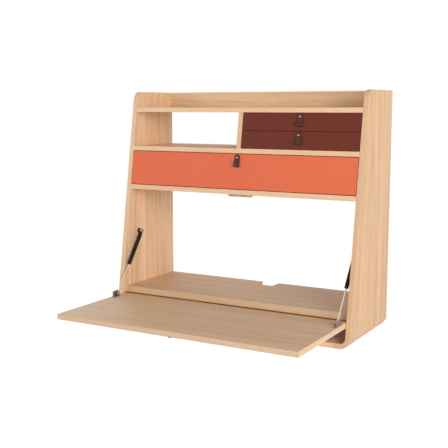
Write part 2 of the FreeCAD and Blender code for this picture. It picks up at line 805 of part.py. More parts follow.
def pull_body(name):
    """Folded leather tab: narrow at the rivet, wide and thick at its lower end.

    Its origin is the middle of its upper end, on the face that it hangs on; -Y is outward."""
    body = new_body(name)
    head, foot = S.pull_head / 2, S.pull_foot / 2
    outline = [(-head, 0), (head, 0), (foot, -S.pull_tall), (-foot, -S.pull_tall)]
    pad(body, polygon(body, "XZ_Plane", name + "_outline", outline), S.pull_thick_foot)
    deep = -S.pull_thick_foot
    waste = [(deep, 0), (-S.pull_thick_head, 0), (deep, -S.pull_taper)]
    pocket(body, polygon(body, "YZ_Plane", name + "_waste", waste))
    head_round = (S.pull_head - S.pull_head_flat) / 2
    for radius, height in ((head_round, 0), (S.pull_foot_round, -S.pull_tall)):
        round_edges(body, radius, lambda p, e: runs_along(e, 1) and near(p.z, height))
    centres = [(0, -S.rivet_drop)]
    pocket(body, circles(body, "XZ_Plane", name + "_hole", centres, S.rivet + 2 * S.rivet_fit))
    return body


def rivet_solid(name, board_thick, blind):
    """Domed rivet with its shank through the pull and into the board.

    A blind one ends in the board, and the others have a washer head behind it."""
    seat = S.rivet_drop + S.rivet_head / 2
    out = S.pull_thick_head + (S.pull_thick_foot - S.pull_thick_head) * seat / S.pull_taper
    half, shank = S.rivet_head / 2, S.rivet / 2
    top = -out - S.rivet_dome
    outline = [(0, top), (S.rivet_crown / 2, top), (half, -out - S.rivet_rim), (half, -out),
               (shank, -out)]
    if blind:
        outline += [(shank, S.leaf_rivet_depth), (0, S.leaf_rivet_depth)]
    else:
        washer, back = S.rivet_washer / 2, board_thick + S.rivet_washer_thick
        outline += [(shank, board_thick), (washer, board_thick), (washer, back), (0, back)]
    body = new_body(name)
    sketch = polygon(body, "XY_Plane", name + "_section", outline)
    feature = body.newObject("PartDesign::Revolution", name + "_turned")
    feature.Profile = sketch
    feature.ReferenceAxis = (sketch, ["V_Axis"])
    feature.Angle = 360
    body.Tip = feature
    doc.recompute()
    return body


def hang_pull(name, x, y, z, turn, board_thick, blind=False):
    """Places a pull and its rivet with the pull's upper end at a point, turned as given.

    Returns the round hole that the rivet needs in the board."""
    node(place(pull_body(name + "_leather"), x, y, z, turn), name)
    centre = vector(x, y, z) + turn.multVec(FreeCAD.Vector(0, 0, -S.rivet_drop.value))
    rivet = rivet_solid(name + "_rivet_body", board_thick, blind)
    rivet.Placement = FreeCAD.Placement(centre, turn)
    node(rivet, name + "_rivet")
    hole = doc.addObject("Part::Cylinder", name + "_clearance")
    bind(hole, "Radius", S.rivet / 2 + S.rivet_fit)
    depth = S.leaf_rivet_depth + S.rivet_fit if blind else board_thick + S.overrun
    bind(hole, "Height", depth + S.overrun)
    before = turn.multVec(FreeCAD.Vector(0, -S.overrun.value, 0))
    hole.Placement = FreeCAD.Placement(centre + before, turn.multiply(ALONG_Y))
    return hole


# ---- drawers -------------------------------------------------------------------------------

def slide_channel(name, x, z, y_back, outward, tall, long):
    """A slide member: a channel that opens towards the drawer (outward 1) or the bay (-1)."""
    reach, sheet, half = S.slide_reach, S.slide_sheet, tall / 2
    web = [(0, -half), (reach, -half), (reach, sheet - half), (sheet, sheet - half),
           (sheet, half - sheet), (reach, half - sheet), (reach, half), (0, half)]
    outline = [(a * outward, b) for a, b in web]
    return board(name, outline, long, x=x, y=-y_back, z=z, role="XZ_Plane")


def drawer(name, left, right, low, high, gap, box_tall, box_rise, box_back, pull_drop):
    """A drawer in the bay between left, right, low and high, with its slides and pull."""
    middle = (left + right) / 2
    behind_front = S.front_recess + S.front_board
    low_z, high_z = low + gap, high - gap
    outline = [(front_y(low_z, behind_front), 0), (front_y(low_z, S.front_recess), 0),
               (front_y(high_z, S.front_recess), high_z - low_z),
               (front_y(high_z, behind_front), high_z - low_z)]
    front = board(name + "_face", outline, right - left - 2 * gap, x=left + gap, z=low_z)
    ease_front(front, front_y(low_z, behind_front))

    pull_z = high_z - pull_drop
    lean = FreeCAD.Rotation(X_AXIS, -LEAN_ANGLE)
    hole = hang_pull(name + "_pull", middle, front_y(pull_z, S.front_recess), pull_z, lean,
                     S.front_board)
    node(cut(name + "_front_drilled", front, hole), name + "_front")

    box_low, box_high = low + box_rise, low + box_rise + box_tall
    wall_tall = box_tall if name == "wide_drawer" else high_z - box_low
    box_right = right - S.slide_room
    floor_low = S.floor_rise
    sides = [(-box_back, 0), (front_y(box_low, behind_front), 0),
             (front_y(box_low + wall_tall, behind_front), wall_tall), (-box_back, wall_tall)]
    right_side = board(name + "_side", sides, S.box_side, x=box_right - S.box_side, z=box_low)
    deep = -S.depth_bottom
    groove = [(deep, floor_low), (0, floor_low), (0, floor_low + S.box_floor + S.floor_fit),
              (deep, floor_low + S.box_floor + S.floor_fit)]
    pocket(right_side, polygon(right_side, "YZ_Plane", name + "_groove", groove),
           S.floor_groove, reverse=True)
    left_side = mirrored(name + "_side_mirrored", right_side, middle)
    if name == "wide_drawer":
        node(right_side, name + "_right_side")
        node(left_side, name + "_left_side")
    else:
        node(group(name + "_side_pair", [right_side, left_side]), name + "_sides")

    inner_wide = 2 * (box_right - S.box_side - middle)
    back_low = floor_low + S.box_floor + S.floor_fit
    node(block(name + "_rear", inner_wide, S.box_side, wall_tall - back_low,
               middle - inner_wide / 2, -box_back - S.box_side, box_low + back_low),
         name + "_back")
    floor_wide = inner_wide + 2 * (S.floor_groove - S.floor_fit)
    floor_z = box_low + floor_low
    sheet_outline = [(-box_back, 0), (front_y(floor_z, behind_front), 0),
                     (front_y(floor_z + S.box_floor, behind_front), S.box_floor),
                     (-box_back, S.box_floor)]
    node(board(name + "_sheet", sheet_outline, floor_wide, x=middle - floor_wide / 2, z=floor_z),
         name + "_floor")

    slide_z = (box_low + box_high) / 2
    inner_tall = S.slide_height - 2 * S.slide_sheet - 2 * S.slide_gap
    long = -front_y(slide_z, behind_front) - box_back - S.slide_setback
    moving = slide_channel(name + "_slide", box_right, slide_z, box_back, 1, inner_tall, long)
    fixed = slide_channel(name + "_rail", right, slide_z, box_back, -1, S.slide_height, long)
    node(group(name + "_slide_pair", [moving, mirrored(name + "_slide_left", moving, middle)]),
         name + "_slides")
    return [fixed, mirrored(name + "_rail_left", fixed, middle)]


# ---- the whole desk ------------------------------------------------------------------------

def build_carcase():
    dowels = carcase_dowels("dowels", ZERO)
    node(dowels, "carcase_dowels")
    holes = carcase_dowels("dowel_holes", S.dowel_fit)
    side_holes = group("side_holes", [holes, bracket_thread("side_pilot", S.screw_fit)])
    right = cut("right_side_drilled", side_panel(), side_holes)
    node(right, "right_side_panel")
    node(mirrored("left_side_drilled", right), "left_side_panel")
    rail_screws = flat_screws("rail_pilots", hinge_screw_points(HINGE_Y + S.hinge_gap - S.hinge_sheet),
                              ALONG_Y, S.screw_fit)
    plain = {
        "bottom_panel": bottom_board(),
        "top_shelf": shelf("top", TOP_UNDER),
        "mid_shelf": shelf("mid", MID_UNDER),
        "lower_shelf": shelf("low", LOW_UNDER),
        "divider": divider_board(),
        "top_rail": rear_rail("top_rail_board", S.lip_height, TOP_TOP),
        "hanging_rail": hanging_rail_board(),
        "fixed_desktop": desktop_board(),
    }
    for name, body in plain.items():
        node(cut(name + "_drilled", body, holes), name)
    rail_holes = group("hinge_rail_holes", [holes, rail_screws])
    node(cut("hinge_rail_drilled", hinge_rail_board(), rail_holes), "hinge_rail")
    node(catch_block_body(), "catch_block")
    node(magnet_catch_body(), "magnet_catch")


def build_hinge():
    rail_face = hinge_screw_points(HINGE_Y + S.hinge_gap - S.hinge_sheet)
    leaf_face = hinge_screw_points(HINGE_Y - S.hinge_gap + S.hinge_sheet)
    into_leaf = FreeCAD.Rotation(X_AXIS, 90)
    for name, side, first, points, turn in (
        ("hinge_rail_flap", 1, 1, rail_face, ALONG_Y),
        ("hinge_leaf_flap", -1, 0, leaf_face, into_leaf),
    ):
        flap = hinge_flap(name + "_body", side, first)
        node(cut(name + "_drilled", flap, flat_screws(name + "_holes", points, turn, S.screw_fit)), name)
        node(flat_screws(name + "_screw_set", points, turn, ZERO), name + "_screws")
    node(cylinder("hinge_pin_rod", S.hinge_pin, HINGE_LONG, HINGE_START, HINGE_Y, HINGE_Z, ALONG_X),
         "hinge_pin")
    return flat_screws("leaf_pilots", leaf_face, into_leaf, S.screw_fit)


def build_leaf(hinge_pilots):
    under = LEAF_TOP - S.leaf_board
    turn = FreeCAD.Rotation(X_AXIS, 90)
    pull_hole = hang_pull("leaf_pull", 0, LEAF_END + S.leaf_pull_edge, under, turn, S.leaf_board,
                          blind=True)
    driven = FreeCAD.Rotation(X_AXIS, 180)
    right_pilots = flat_screws("ear_pilots", leaf_bracket_screw_points(), driven, S.screw_fit)
    pilots = group("leaf_holes", [hinge_pilots, pull_hole, right_pilots,
                                  mirrored("ear_pilots_left", right_pilots),
                                  strike_plate("strike_recess", S.strike_fit)])
    node(cut("leaf_drilled", leaf_board(), pilots), "leaf")
    node(strike_plate("strike", ZERO), "strike_plate")
    right = cut("leaf_bracket_drilled", leaf_bracket(),
                group("leaf_bracket_holes", [
                    flat_screws("ear_holes", leaf_bracket_screw_points(), driven, S.screw_fit),
                    eye("ear_stud_hole", S.stud + 2 * S.stud_fit, LOW_PIVOT_Y, LOW_PIVOT_Z,
                        S.stay_inset, STAY_X)]))
    node(right, "right_leaf_bracket")
    node(mirrored("leaf_bracket_left", right), "left_leaf_bracket")
    screws = flat_screws("ear_screws", leaf_bracket_screw_points(), driven, ZERO)
    node(group("ear_screw_pairs", [screws, mirrored("ear_screws_left", screws)]),
         "leaf_bracket_screws")
    stud = stay_stud("low_stud", LOW_PIVOT_Y, LOW_PIVOT_Z, S.pivot_gap + S.bracket_sheet)
    node(group("low_stud_pair", [stud, mirrored("low_stud_left", stud)]), "stay_lower_studs")


def build_stays():
    pieces = {
        "stay_tube": stay_tube(),
        "stay_rod": stay_rod(),
        "stay_upper_stud": stay_stud("high_stud", HIGH_PIVOT_Y, HIGH_PIVOT_Z, ZERO),
        "stay_bracket": wall_bracket(),
    }
    for name, right in pieces.items():
        node(right, "right_" + name)
        node(mirrored(name + "_mirrored", right), "left_" + name)


def build_drawers():
    rails = drawer("wide_drawer", -INNER, INNER, LOW_TOP, MID_UNDER, S.wide_front_gap,
                   S.wide_box_height, S.wide_box_rise, S.wide_box_back, S.wide_pull_drop)
    node(group("wide_rails", rails), "wide_drawer_rails")
    left, split = S.divider_board / 2, (MID_TOP + TOP_UNDER) / 2
    small = (S.small_front_gap, S.small_box_height, S.small_box_rise, S.small_box_back,
             S.small_pull_drop)
    half_gap = S.small_front_gap / 2
    rails = drawer("lower_small_drawer", left, INNER, MID_TOP, split + half_gap, *small)
    rails += drawer("upper_small_drawer", left, INNER, split - half_gap, TOP_UNDER, *small)
    node(group("small_rails", rails), "small_drawer_rails")


def write_steps():
    doc.recompute()
    failed = [o.Name for o in doc.Objects if {"Invalid", "Error"} & set(o.State)]
    if failed:
        raise RuntimeError(f"objects that failed: {failed}")
    names = [piece.Label for piece in nodes]
    if len(set(names)) != len(names):
        raise RuntimeError("two pieces share a name")
    for piece in nodes:
        if piece.Shape.isNull() or not piece.Shape.isValid() or not piece.Shape.Solids:
            raise RuntimeError(f"{piece.Label} has no valid solid")
    os.makedirs("parts", exist_ok=True)
    for piece in nodes:
        piece.Shape.exportStep(f"parts/{piece.Label}.step")
        box = piece.Shape.BoundBox
        print(f"{piece.Label:30s} {len(piece.Shape.Solids):3d} "
              f"x {box.XMin:8.2f} {box.XMax:8.2f}  y {box.YMin:8.2f} {box.YMax:8.2f}  "
              f"z {box.ZMin:8.2f} {box.ZMax:8.2f}")


build_carcase()
build_leaf(build_hinge())
build_stays()
build_drawers()
write_steps()
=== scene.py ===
"""The looks of the fold-down wall desk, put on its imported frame. Metres, in the frame's axes."""

import json
import math

import bmesh
import bpy
from bpy.props import FloatProperty, FloatVectorProperty, IntProperty, PointerProperty
from mathutils import Matrix, Vector

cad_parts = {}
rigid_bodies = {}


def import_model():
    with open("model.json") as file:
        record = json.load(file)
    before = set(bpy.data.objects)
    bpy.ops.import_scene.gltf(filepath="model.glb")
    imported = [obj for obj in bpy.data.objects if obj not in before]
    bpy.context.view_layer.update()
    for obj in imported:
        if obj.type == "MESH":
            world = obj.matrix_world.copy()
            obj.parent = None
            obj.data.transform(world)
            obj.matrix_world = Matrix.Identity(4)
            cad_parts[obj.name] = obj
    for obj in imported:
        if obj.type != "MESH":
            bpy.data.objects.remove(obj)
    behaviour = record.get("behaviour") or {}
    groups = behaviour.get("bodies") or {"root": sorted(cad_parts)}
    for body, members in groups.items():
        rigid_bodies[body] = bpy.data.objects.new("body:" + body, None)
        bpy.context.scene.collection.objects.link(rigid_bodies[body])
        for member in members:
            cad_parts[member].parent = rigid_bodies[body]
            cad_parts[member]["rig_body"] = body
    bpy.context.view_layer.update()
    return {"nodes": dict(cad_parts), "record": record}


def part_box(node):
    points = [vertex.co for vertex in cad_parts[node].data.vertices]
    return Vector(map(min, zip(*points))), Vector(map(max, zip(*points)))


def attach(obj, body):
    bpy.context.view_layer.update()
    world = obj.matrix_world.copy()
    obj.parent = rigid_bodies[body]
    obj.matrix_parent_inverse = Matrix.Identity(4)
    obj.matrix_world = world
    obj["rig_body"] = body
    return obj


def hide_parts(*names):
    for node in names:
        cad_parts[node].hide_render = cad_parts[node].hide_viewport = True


bl_info = {
    "name": "Fold-Down Wall Desk",
    "version": (1, 0, 0),
    "blender": (4, 5, 0),
    "location": "View3D > Sidebar > Wall Desk",
    "description": "Veneer, lacquer, leather, stays and fasteners for the wall desk",
    "category": "Object",
}

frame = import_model()
NODES = frame["nodes"]
RECORD = frame["record"]
MM = 0.001
SIDES = {"right": 1, "left": -1}
DRAWERS = ("wide_drawer", "lower_small_drawer", "upper_small_drawer")


# ---- places taken from the frame ----

def centre(node):
    low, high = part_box(node)
    return (low + high) / 2


def joint(name):
    return next(j for j in RECORD["behaviour"]["joints"] if j["name"] == name)


def slot_of(node):
    """The record's material slot of a node."""
    return next(p["material_slot"] for p in RECORD["subparts"] if p["node"] == node)


SIDE_LOW, SIDE_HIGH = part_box("right_side_panel")
LOWER_SHELF, TOP_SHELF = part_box("lower_shelf"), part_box("top_shelf")
# run of the leaning fronts per unit of height, from the front edges of two shelves
LEAN = (TOP_SHELF[0].y - LOWER_SHELF[0].y) / (TOP_SHELF[0].z - LOWER_SHELF[0].z)
LEAN_ANGLE = math.atan(LEAN)
UPPER_PIVOT = centre("right_stay_upper_stud")
LOWER_PIVOT = Vector(joint("right_stay_swing")["pos_m"])
STAY_X = LOWER_PIVOT.x


# ---- settings ----

def colour(name, description, default):
    return FloatVectorProperty(name=name, description=description, default=default,
                               subtype="COLOR", min=0, max=1)


def number(name, description, default, **options):
    return FloatProperty(name=name, description=description, default=default, **options)


def length(name, description, default):
    """A length in metres whose default is given in millimetres."""
    return number(name, description, default * MM, unit="LENGTH", precision=5, min=0)


def share(name, description, default):
    return number(name, description, default, subtype="FACTOR", min=0, max=1)


def watts(name, description, default):
    return number(name, "Power of the " + description, default, unit="POWER", min=0)


class WallDeskVeneer(bpy.types.PropertyGroup):
    pale: colour("Pale", "Lightest streaks of the oak", (0.942, 0.641, 0.397))
    middle: colour("Middle", "Main tone of the oak", (0.86, 0.579, 0.357))
    dark: colour("Dark", "Darkest streaks of the oak", (0.731, 0.464, 0.273))
    box_pale: colour("Box pale", "Lightest tone of the drawer boxes", (0.83, 0.66, 0.47))
    box_dark: colour("Box dark", "Darkest tone of the drawer boxes", (0.70, 0.51, 0.33))
    lipping: share("Lipping", "How much paler the lipped front edges are", 0.6)
    pores: share("Pores", "How dark the pores are", 0.22)
    side_contrast: number("Side contrast", "Strength of the streaks on the two sides", 1.25, min=0)
    top_contrast: number("Top contrast", "Strength of the streaks on the worktops", 0.8, min=0)
    sheen: share("Sheen", "Specular level of the oiled oak", 0.5)
    # painted light and shade: each of these is multiplied with the oak's tones, so that each piece
    # gets a darkened or greyed copy of the oak for how it is lit
    right_painted_light: colour("Right tint", "Tint of the oak on the right side", (0.86, 0.814, 0.775))
    left_painted_light: colour("Left tint", "Tint of the oak on the left side", (0.94, 0.938, 0.912))
    # painted shade and painted sheen: the worktops' oak is darkened for the weaker light from above
    # and greyed for the reflection of the white surroundings
    desktop_painted_light: colour("Desktop tint", "Tint of the oak on the desktop", (0.817, 0.855, 0.891))
    leaf_painted_light: colour("Leaf tint", "Tint of the oak on the leaf", (0.874, 0.903, 0.92))
    divider_painted_light: colour("Divider tint", "Tint of the oak on the divider", (0.9, 0.87, 0.83))
    rail_painted_light: colour("Rail tint", "Tint of the oak on the top rail", (0.942, 0.932, 0.913))
    # painted shade: the catch block's oak is greyed for the shade under its shelf
    catch_painted_light: colour("Catch tint", "Tint of the oak on the catch block", (0.85, 1.0, 1.0))
    blush: colour("Blush", "Tint of the oak in its rosy parts", (1.0, 0.955, 0.90))
    bend: length("Bend", "Outer radius of the bent bottom corners", 37)


class WallDeskLacquer(bpy.types.PropertyGroup):
    coral: colour("Coral", "Wide drawer front", (0.85, 0.18, 0.085))
    burgundy: colour("Burgundy", "Small drawer fronts", (0.1644, 0.0337, 0.0202))
    roughness: share("Roughness", "Satin roughness of the lacquer", 0.46)


class WallDeskLeather(bpy.types.PropertyGroup):
    face: colour("Face", "Grain side of the leather", (0.070, 0.026, 0.020))
    flesh: colour("Flesh", "Inner side of the fold", (0.085, 0.050, 0.036))
    edge: colour("Edge", "Painted edges", (0.022, 0.015, 0.012))
    thickness: length("Thickness", "Thickness of the strap", 2.4)
    tall: length("Height", "Upper end to the fold", 49)
    head: length("Head width", "Width at the rivet", 17.5)
    foot: length("Foot width", "Width at the fold", 22)
    loop: length("Loop", "Thickness over the fold", 10.9)
    corner: length("Corner", "Rounding of the ends", 8.4)
    fold_corner: length("Fold corner", "Rounding of the strap's sides at the fold", 3)
    rivet_drop: length("Rivet drop", "Upper end to the rivet", 12.5)


class WallDeskHardware(bpy.types.PropertyGroup):
    rivet: colour("Rivet", "Rivets of the pulls", (0.44, 0.32, 0.21))
    # painted reflection: the rods' warm, dimmed tone stands for the oak that their polished steel
    # reflects
    rod: colour("Rod", "Bright rods of the stays", (0.66, 0.55, 0.45))
    stud: colour("Stud", "Studs of the stays", (0.40, 0.36, 0.33))
    zinc: colour("Zinc", "Drawer slides and screws", (0.60, 0.60, 0.61))
    # painted light and shade: the upper and lower eyes are a pale, lit copy and a dark brownish,
    # shaded copy of one zinc; the leaf's brackets take the shaded one
    upper_eye: colour("Upper eye", "Upper eyes of the stays", (0.52, 0.48, 0.46))
    lower_eye: colour("Lower eye", "Lower eyes of the stays and their brackets", (0.28, 0.24, 0.20))
    # painted shadow: the hinge's dark brown stands for the shadow line in the gap between the
    # desktop and the leaf
    hinge: colour("Hinge", "Dark bronze hinge", (0.13, 0.065, 0.03))
    flange: colour("Flange", "Dark flanges of the stays", (0.07, 0.055, 0.045))
    tube: colour("Tube", "Painted stay tubes", (0.018, 0.0125, 0.010))
    # the brackets' inner faces take this dark as painted shade; in the stays' eyes it is the bushes'
    # own colour
    bush: colour("Bush", "Bushes of the stays and the brackets' inner faces", (0.17, 0.145, 0.12))
    strike: colour("Strike", "Painted strike plate", (0.77, 0.52, 0.32))
    # painted shade: the housing's beige is greyed toward the shade under its shelf
    housing: colour("Housing", "Magnet housing", (0.66, 0.57, 0.44))
    soft_edge: length("Soft edge", "Rounding of pressed metal edges", 0.4)
    screw_head: length("Screw head", "Diameter of the countersunk heads", 6.6)
    screw_shank: length("Screw shank", "Diameter of the shanks", 3.5)
    screw_long: length("Screw length", "Length of the shanks", 14)
    recess: length("Recess", "Length of each arm of the cross recess", 3.8)
    rivet_head: length("Rivet head", "Diameter of the domed rivets", 7.5)
    rivet_dome: length("Rivet dome", "Height of the domes", 2.1)
    roll_seed: IntProperty(name="Roll seed", description="Seed of the screws' turns", default=4)


class WallDeskStage(bpy.types.PropertyGroup):
    camera: FloatVectorProperty(name="Camera", description="Place of the camera",
                                default=(1.49783, -3.0382, 0.21938), subtype="TRANSLATION")
    azimuth: number("Azimuth", "Turn of the view to the left", math.radians(29.539),
                    subtype="ANGLE")
    pitch: number("Pitch", "Tilt of the view downwards", math.radians(7.970), subtype="ANGLE")
    lens: number("Lens", "Focal length in millimetres", 66.60)
    floor: number("Floor", "Desk's underside to the floor", 0.65, unit="LENGTH")
    ambient: number("Ambient", "Even light from all round", 0.29)
    key: watts("Key", "large, far lamp at the front right", 316)
    accent: watts("Accent", "small lamp at the front right", 48)
    side: watts("Side", "small lamp at the right", 18.5)
    fill: watts("Fill", "near lamp at the front left", 13.6)
    back_right: watts("Back right", "lamp at the back right", 6.8)
    back_left: watts("Back left", "lamp at the back left", 26.2)


class WallDeskSettings(bpy.types.PropertyGroup):
    veneer: PointerProperty(type=WallDeskVeneer)
    lacquer: PointerProperty(type=WallDeskLacquer)
    leather: PointerProperty(type=WallDeskLeather)
    hardware: PointerProperty(type=WallDeskHardware)
    stage: PointerProperty(type=WallDeskStage)


def settings():
    return bpy.context.scene.wall_desk


# ---- node trees written as expressions ----

class Wire:
    """An output socket; arithmetic on it adds Math nodes to its tree."""

    def __init__(self, graph, socket):
        self.graph = graph
        self.socket = socket

    def math(self, operation, *others):
        """A Math node whose first value is this wire."""
        return self.graph.node("ShaderNodeMath", dict(enumerate((self, *others))),
                               operation=operation)

    def __add__(self, other):
        return self.math("ADD", other)

    __radd__ = __add__

    def __sub__(self, other):
        return self.math("SUBTRACT", other)

    def __rsub__(self, other):
        return self.math("MULTIPLY_ADD", -1, other)

    def __mul__(self, other):
        return self.math("MULTIPLY", other)

    __rmul__ = __mul__

    def __neg__(self):
        return self.math("MULTIPLY", -1)

    def __abs__(self):
        return self.math("ABSOLUTE")

    def most(self, other):
        return self.math("MAXIMUM", other)


class Graph:
    """A shader or geometry tree."""

    def __init__(self, tree):
        self.tree = tree

    def node(self, kind, inputs=None, output=0, stops=None, **options):
        """Adds a node: its options and a ramp's stops first, then its sockets' values or links."""
        made = self.tree.nodes.new(kind)
        for option, value in options.items():
            setattr(made, option, value)
        if stops:
            ramp = made.color_ramp
            while len(ramp.elements) < len(stops):
                ramp.elements.new(1)
            for element, (position, tone) in zip(ramp.elements, stops):
                element.position = position
                element.color = (*tone, 1)
        for key, value in (inputs or {}).items():
            for item in value if isinstance(value, list) else [value]:
                if isinstance(item, Wire):
                    self.tree.links.new(item.socket, made.inputs[key])
                elif made.inputs[key].type == "RGBA":
                    made.inputs[key].default_value = (*item[:3], 1)
                else:
                    made.inputs[key].default_value = item
        if output is None:
            return None
        if isinstance(output, tuple):
            return [Wire(self, made.outputs[name]) for name in output]
        return Wire(self, made.outputs[output])

    def coordinates(self, kind="Object"):
        """The point that is shaded, or the surface's Normal there, in the object's axes."""
        return self.node("ShaderNodeTexCoord", output=kind)

    def split(self, vector):
        return self.node("ShaderNodeSeparateXYZ", {0: vector}, output=("X", "Y", "Z"))

    def vector(self, x, y, z):
        return self.node("ShaderNodeCombineXYZ", {0: x, 1: y, 2: z})

    def ramp(self, value, low, high):
        """0 up to low, 1 from high on, straight between."""
        return self.node("ShaderNodeMapRange", {0: value, 1: low, 2: high}, clamp=True)

    def noise(self, where, scale=1.0, detail=2.0, roughness=0.5):
        return self.node("ShaderNodeTexNoise", {"Vector": where, "Scale": scale, "Detail": detail,
                                                "Roughness": roughness})

    def mix(self, factor, a, b, blend="MIX"):
        """Mixes colours, each a wire or three numbers."""
        a, b = (c if isinstance(c, Wire) else (*c, 1) for c in (a, b))
        return self.node("ShaderNodeMix", {0: factor, 6: a, 7: b}, output=2, data_type="RGBA",
                         blend_type=blend)

    def bump(self, height, strength, distance):
        return self.node("ShaderNodeBump", {"Height": height, "Strength": strength,
                                            "Distance": distance})


def new_material(name):
    """An empty node material and its graph."""
    material = bpy.data.materials.new(name)
    material.use_nodes = True
    material.node_tree.nodes.clear()
    return material, Graph(material.node_tree)


def end_material(graph, shader):
    graph.node("ShaderNodeOutputMaterial", {"Surface": shader}, output=None)


def finish(surface):
    """Makes a named material of a function that gives a Principled surface's inputs.

    It is made at its first use, and found by its name after that."""
    def named(name, *args, **options):
        material = bpy.data.materials.get(name)
        if not material:
            material, graph = new_material(name)
            inputs = surface(graph, *args, **options)
            end_material(graph, graph.node("ShaderNodeBsdfPrincipled", inputs))
        return material
    return named


# ---- finishes ----

SIDE_APART = 3.0  # shifts the figure of one side from the other's
# a face starts to look along an axis at the first part of its normal, and does so fully from the
# second on
FACING = (0.55, 0.85)
ABOVE_FOOT = (0.1, 0.11)  # a side has end grain only above these heights
PORE = (0.30, 0.17, 0.09)  # colour of the oak's pores


def bent_axes(graph, point):
    """Along, across and through the sheet of a side, which bends into its foot."""
    bend = settings().veneer.bend
    out = abs(point["x"]) - (SIDE_HIGH.x - bend)
    down = (SIDE_LOW.z + bend) - point["z"]
    beside, below = out.most(0), down.most(0)
    through = (beside * beside + below * below).math("SQRT")
    turn = beside.math("ARCTAN2", below)
    along = (-down).most(0) - (-out).most(0) + turn * bend
    apart = point["x"].math("SIGN") * SIDE_APART
    return along, point["y"], through + apart


@finish
def streaked(graph, layout, tones, lipping=0.0, contrast=1.0):
    """Streaked veneer. The layout names the axes along, across and through the board."""
    look = settings().veneer
    point = dict(zip("xyz", graph.split(graph.coordinates())))
    normal = graph.split(graph.coordinates("Normal"))
    face = {axis: abs(wire) for axis, wire in zip("xyz", normal)}
    if layout == "bent":
        along, across, through = bent_axes(graph, point)
        rim = graph.ramp(face["y"], *FACING)
        end = graph.ramp(face["z"], *FACING) * graph.ramp(point["z"], *ABOVE_FOOT)
    else:
        along, across, through = (point[axis] for axis in layout)
        rim = graph.ramp(face[layout[1]], *FACING)
        end = graph.ramp(face[layout[0]], *FACING)
    lip = rim.most(end)
    run = along * (1 - end) + across * end
    beside = across * (1 - lip)
    wander = graph.noise(graph.vector(run * 1.3, beside * 3.5, through * 3.5)) - 0.5
    beside = beside + wander * 0.03

    def streaks(per_metre_along, per_metre_across, detail=2.0):
        where = graph.vector(run * per_metre_along, beside * per_metre_across,
                             through * per_metre_across)
        return graph.noise(where, detail=detail)

    broad = streaks(0.9, 26)
    narrow = streaks(1.7, 80, 3.0)
    fine = streaks(16, 300)
    contour = streaks(0.5, 6, 0.0) * 9
    rings = contour.math("PINGPONG", 0.5) * 2
    pores = graph.ramp(streaks(30, 1500, 1.0), 0.60, 0.72)
    figure = broad + narrow * 0.8 + fine * 0.8 + rings * 0.2 - 1.4  # the sum less its mean
    tone = figure * contrast + 0.5
    pale, middle, dark = tones
    wood = graph.node("ShaderNodeValToRGB", {0: tone},
                      stops=[(0.15, dark), (0.5, middle), (0.85, pale)])
    if lipping:
        wood = graph.mix(lip * lipping, wood, pale)
    rosy = graph.ramp(streaks(1.2, 20), 0.42, 0.62)
    wood = graph.mix(rosy, wood, look.blush, "MULTIPLY")
    return {
        "Base Color": graph.mix(pores * look.pores, wood, PORE),
        "Roughness": 0.60 - fine * 0.12 + pores * 0.1,
        "Specular IOR Level": look.sheen,
        "Normal": graph.bump(fine * 0.4 - pores, 0.3, 0.2 * MM),
    }


def oak(layout, name="oak", painted_light=(1, 1, 1), contrast=1.0):
    """The desk's oak veneer on boards of one layout, its tones multiplied by a piece's painted light
    and shade.
    """
    look = settings().veneer
    tones = [[a * b for a, b in zip(tone, painted_light)] for tone in (look.pale, look.middle, look.dark)]
    return streaked(f"{name}_{layout}", layout, tones, look.lipping, contrast)


def birch(layout):
    """Plain pale ply of the drawer boxes."""
    look = settings().veneer
    middle = [(a + b) / 2 for a, b in zip(look.box_pale, look.box_dark)]
    return streaked(f"birch_{layout}", layout, (look.box_pale, middle, look.box_dark))


def scaled(tone, factor):
    return tuple(min(1.0, c * factor) for c in tone)


@finish
def lacquer(graph, tone):
    """Sprayed satin lacquer: an almost even colour and a very fine orange peel."""
    point = graph.coordinates()
    cloud = graph.noise(point, 7.0, 3.0)
    peel = graph.noise(point, 650.0, 1.0)
    return {
        "Base Color": graph.mix(cloud, scaled(tone, 0.97), scaled(tone, 1.03)),
        "Roughness": cloud * 0.10 + (settings().lacquer.roughness - 0.05),
        "Specular IOR Level": 0.14,
        "Normal": graph.bump(peel, 0.06, 0.2 * MM),
    }


@finish
def metal(graph, tone, roughness, wear=0.08, brush=None):
    """Plated metal with faint clouding, and brushing along an axis where one is named."""
    x, y, z = graph.split(graph.coordinates())
    along, across = 40, 1400  # lines per metre
    rates = {axis: along if axis == brush else across for axis in "xyz"}
    lines = graph.noise(graph.vector(x * rates["x"], y * rates["y"], z * rates["z"]))
    cloud = graph.noise(graph.vector(x, y, z), 120.0, 3.0)
    return {
        "Base Color": graph.mix(cloud, scaled(tone, 1 - wear), scaled(tone, 1 + wear)),
        "Metallic": 1.0,
        "Roughness": lines * 0.12 + cloud * wear + (roughness - 0.1),
        "Normal": graph.bump(lines, 0.08, 0.05 * MM),
    }


@finish
def paint(graph, tone, roughness, gloss=0.4):
    """Powder coat or moulded plastic: a dull, finely grained surface."""
    point = graph.coordinates()
    grain = graph.noise(point, 900.0, 2.0)
    cloud = graph.noise(point, 60.0, 2.0)
    return {
        "Base Color": graph.mix(cloud, scaled(tone, 0.85), scaled(tone, 1.15)),
        "Roughness": cloud * 0.12 + (roughness - 0.06),
        "Specular IOR Level": gloss,
        "Normal": graph.bump(grain, 0.12, 0.1 * MM),
    }


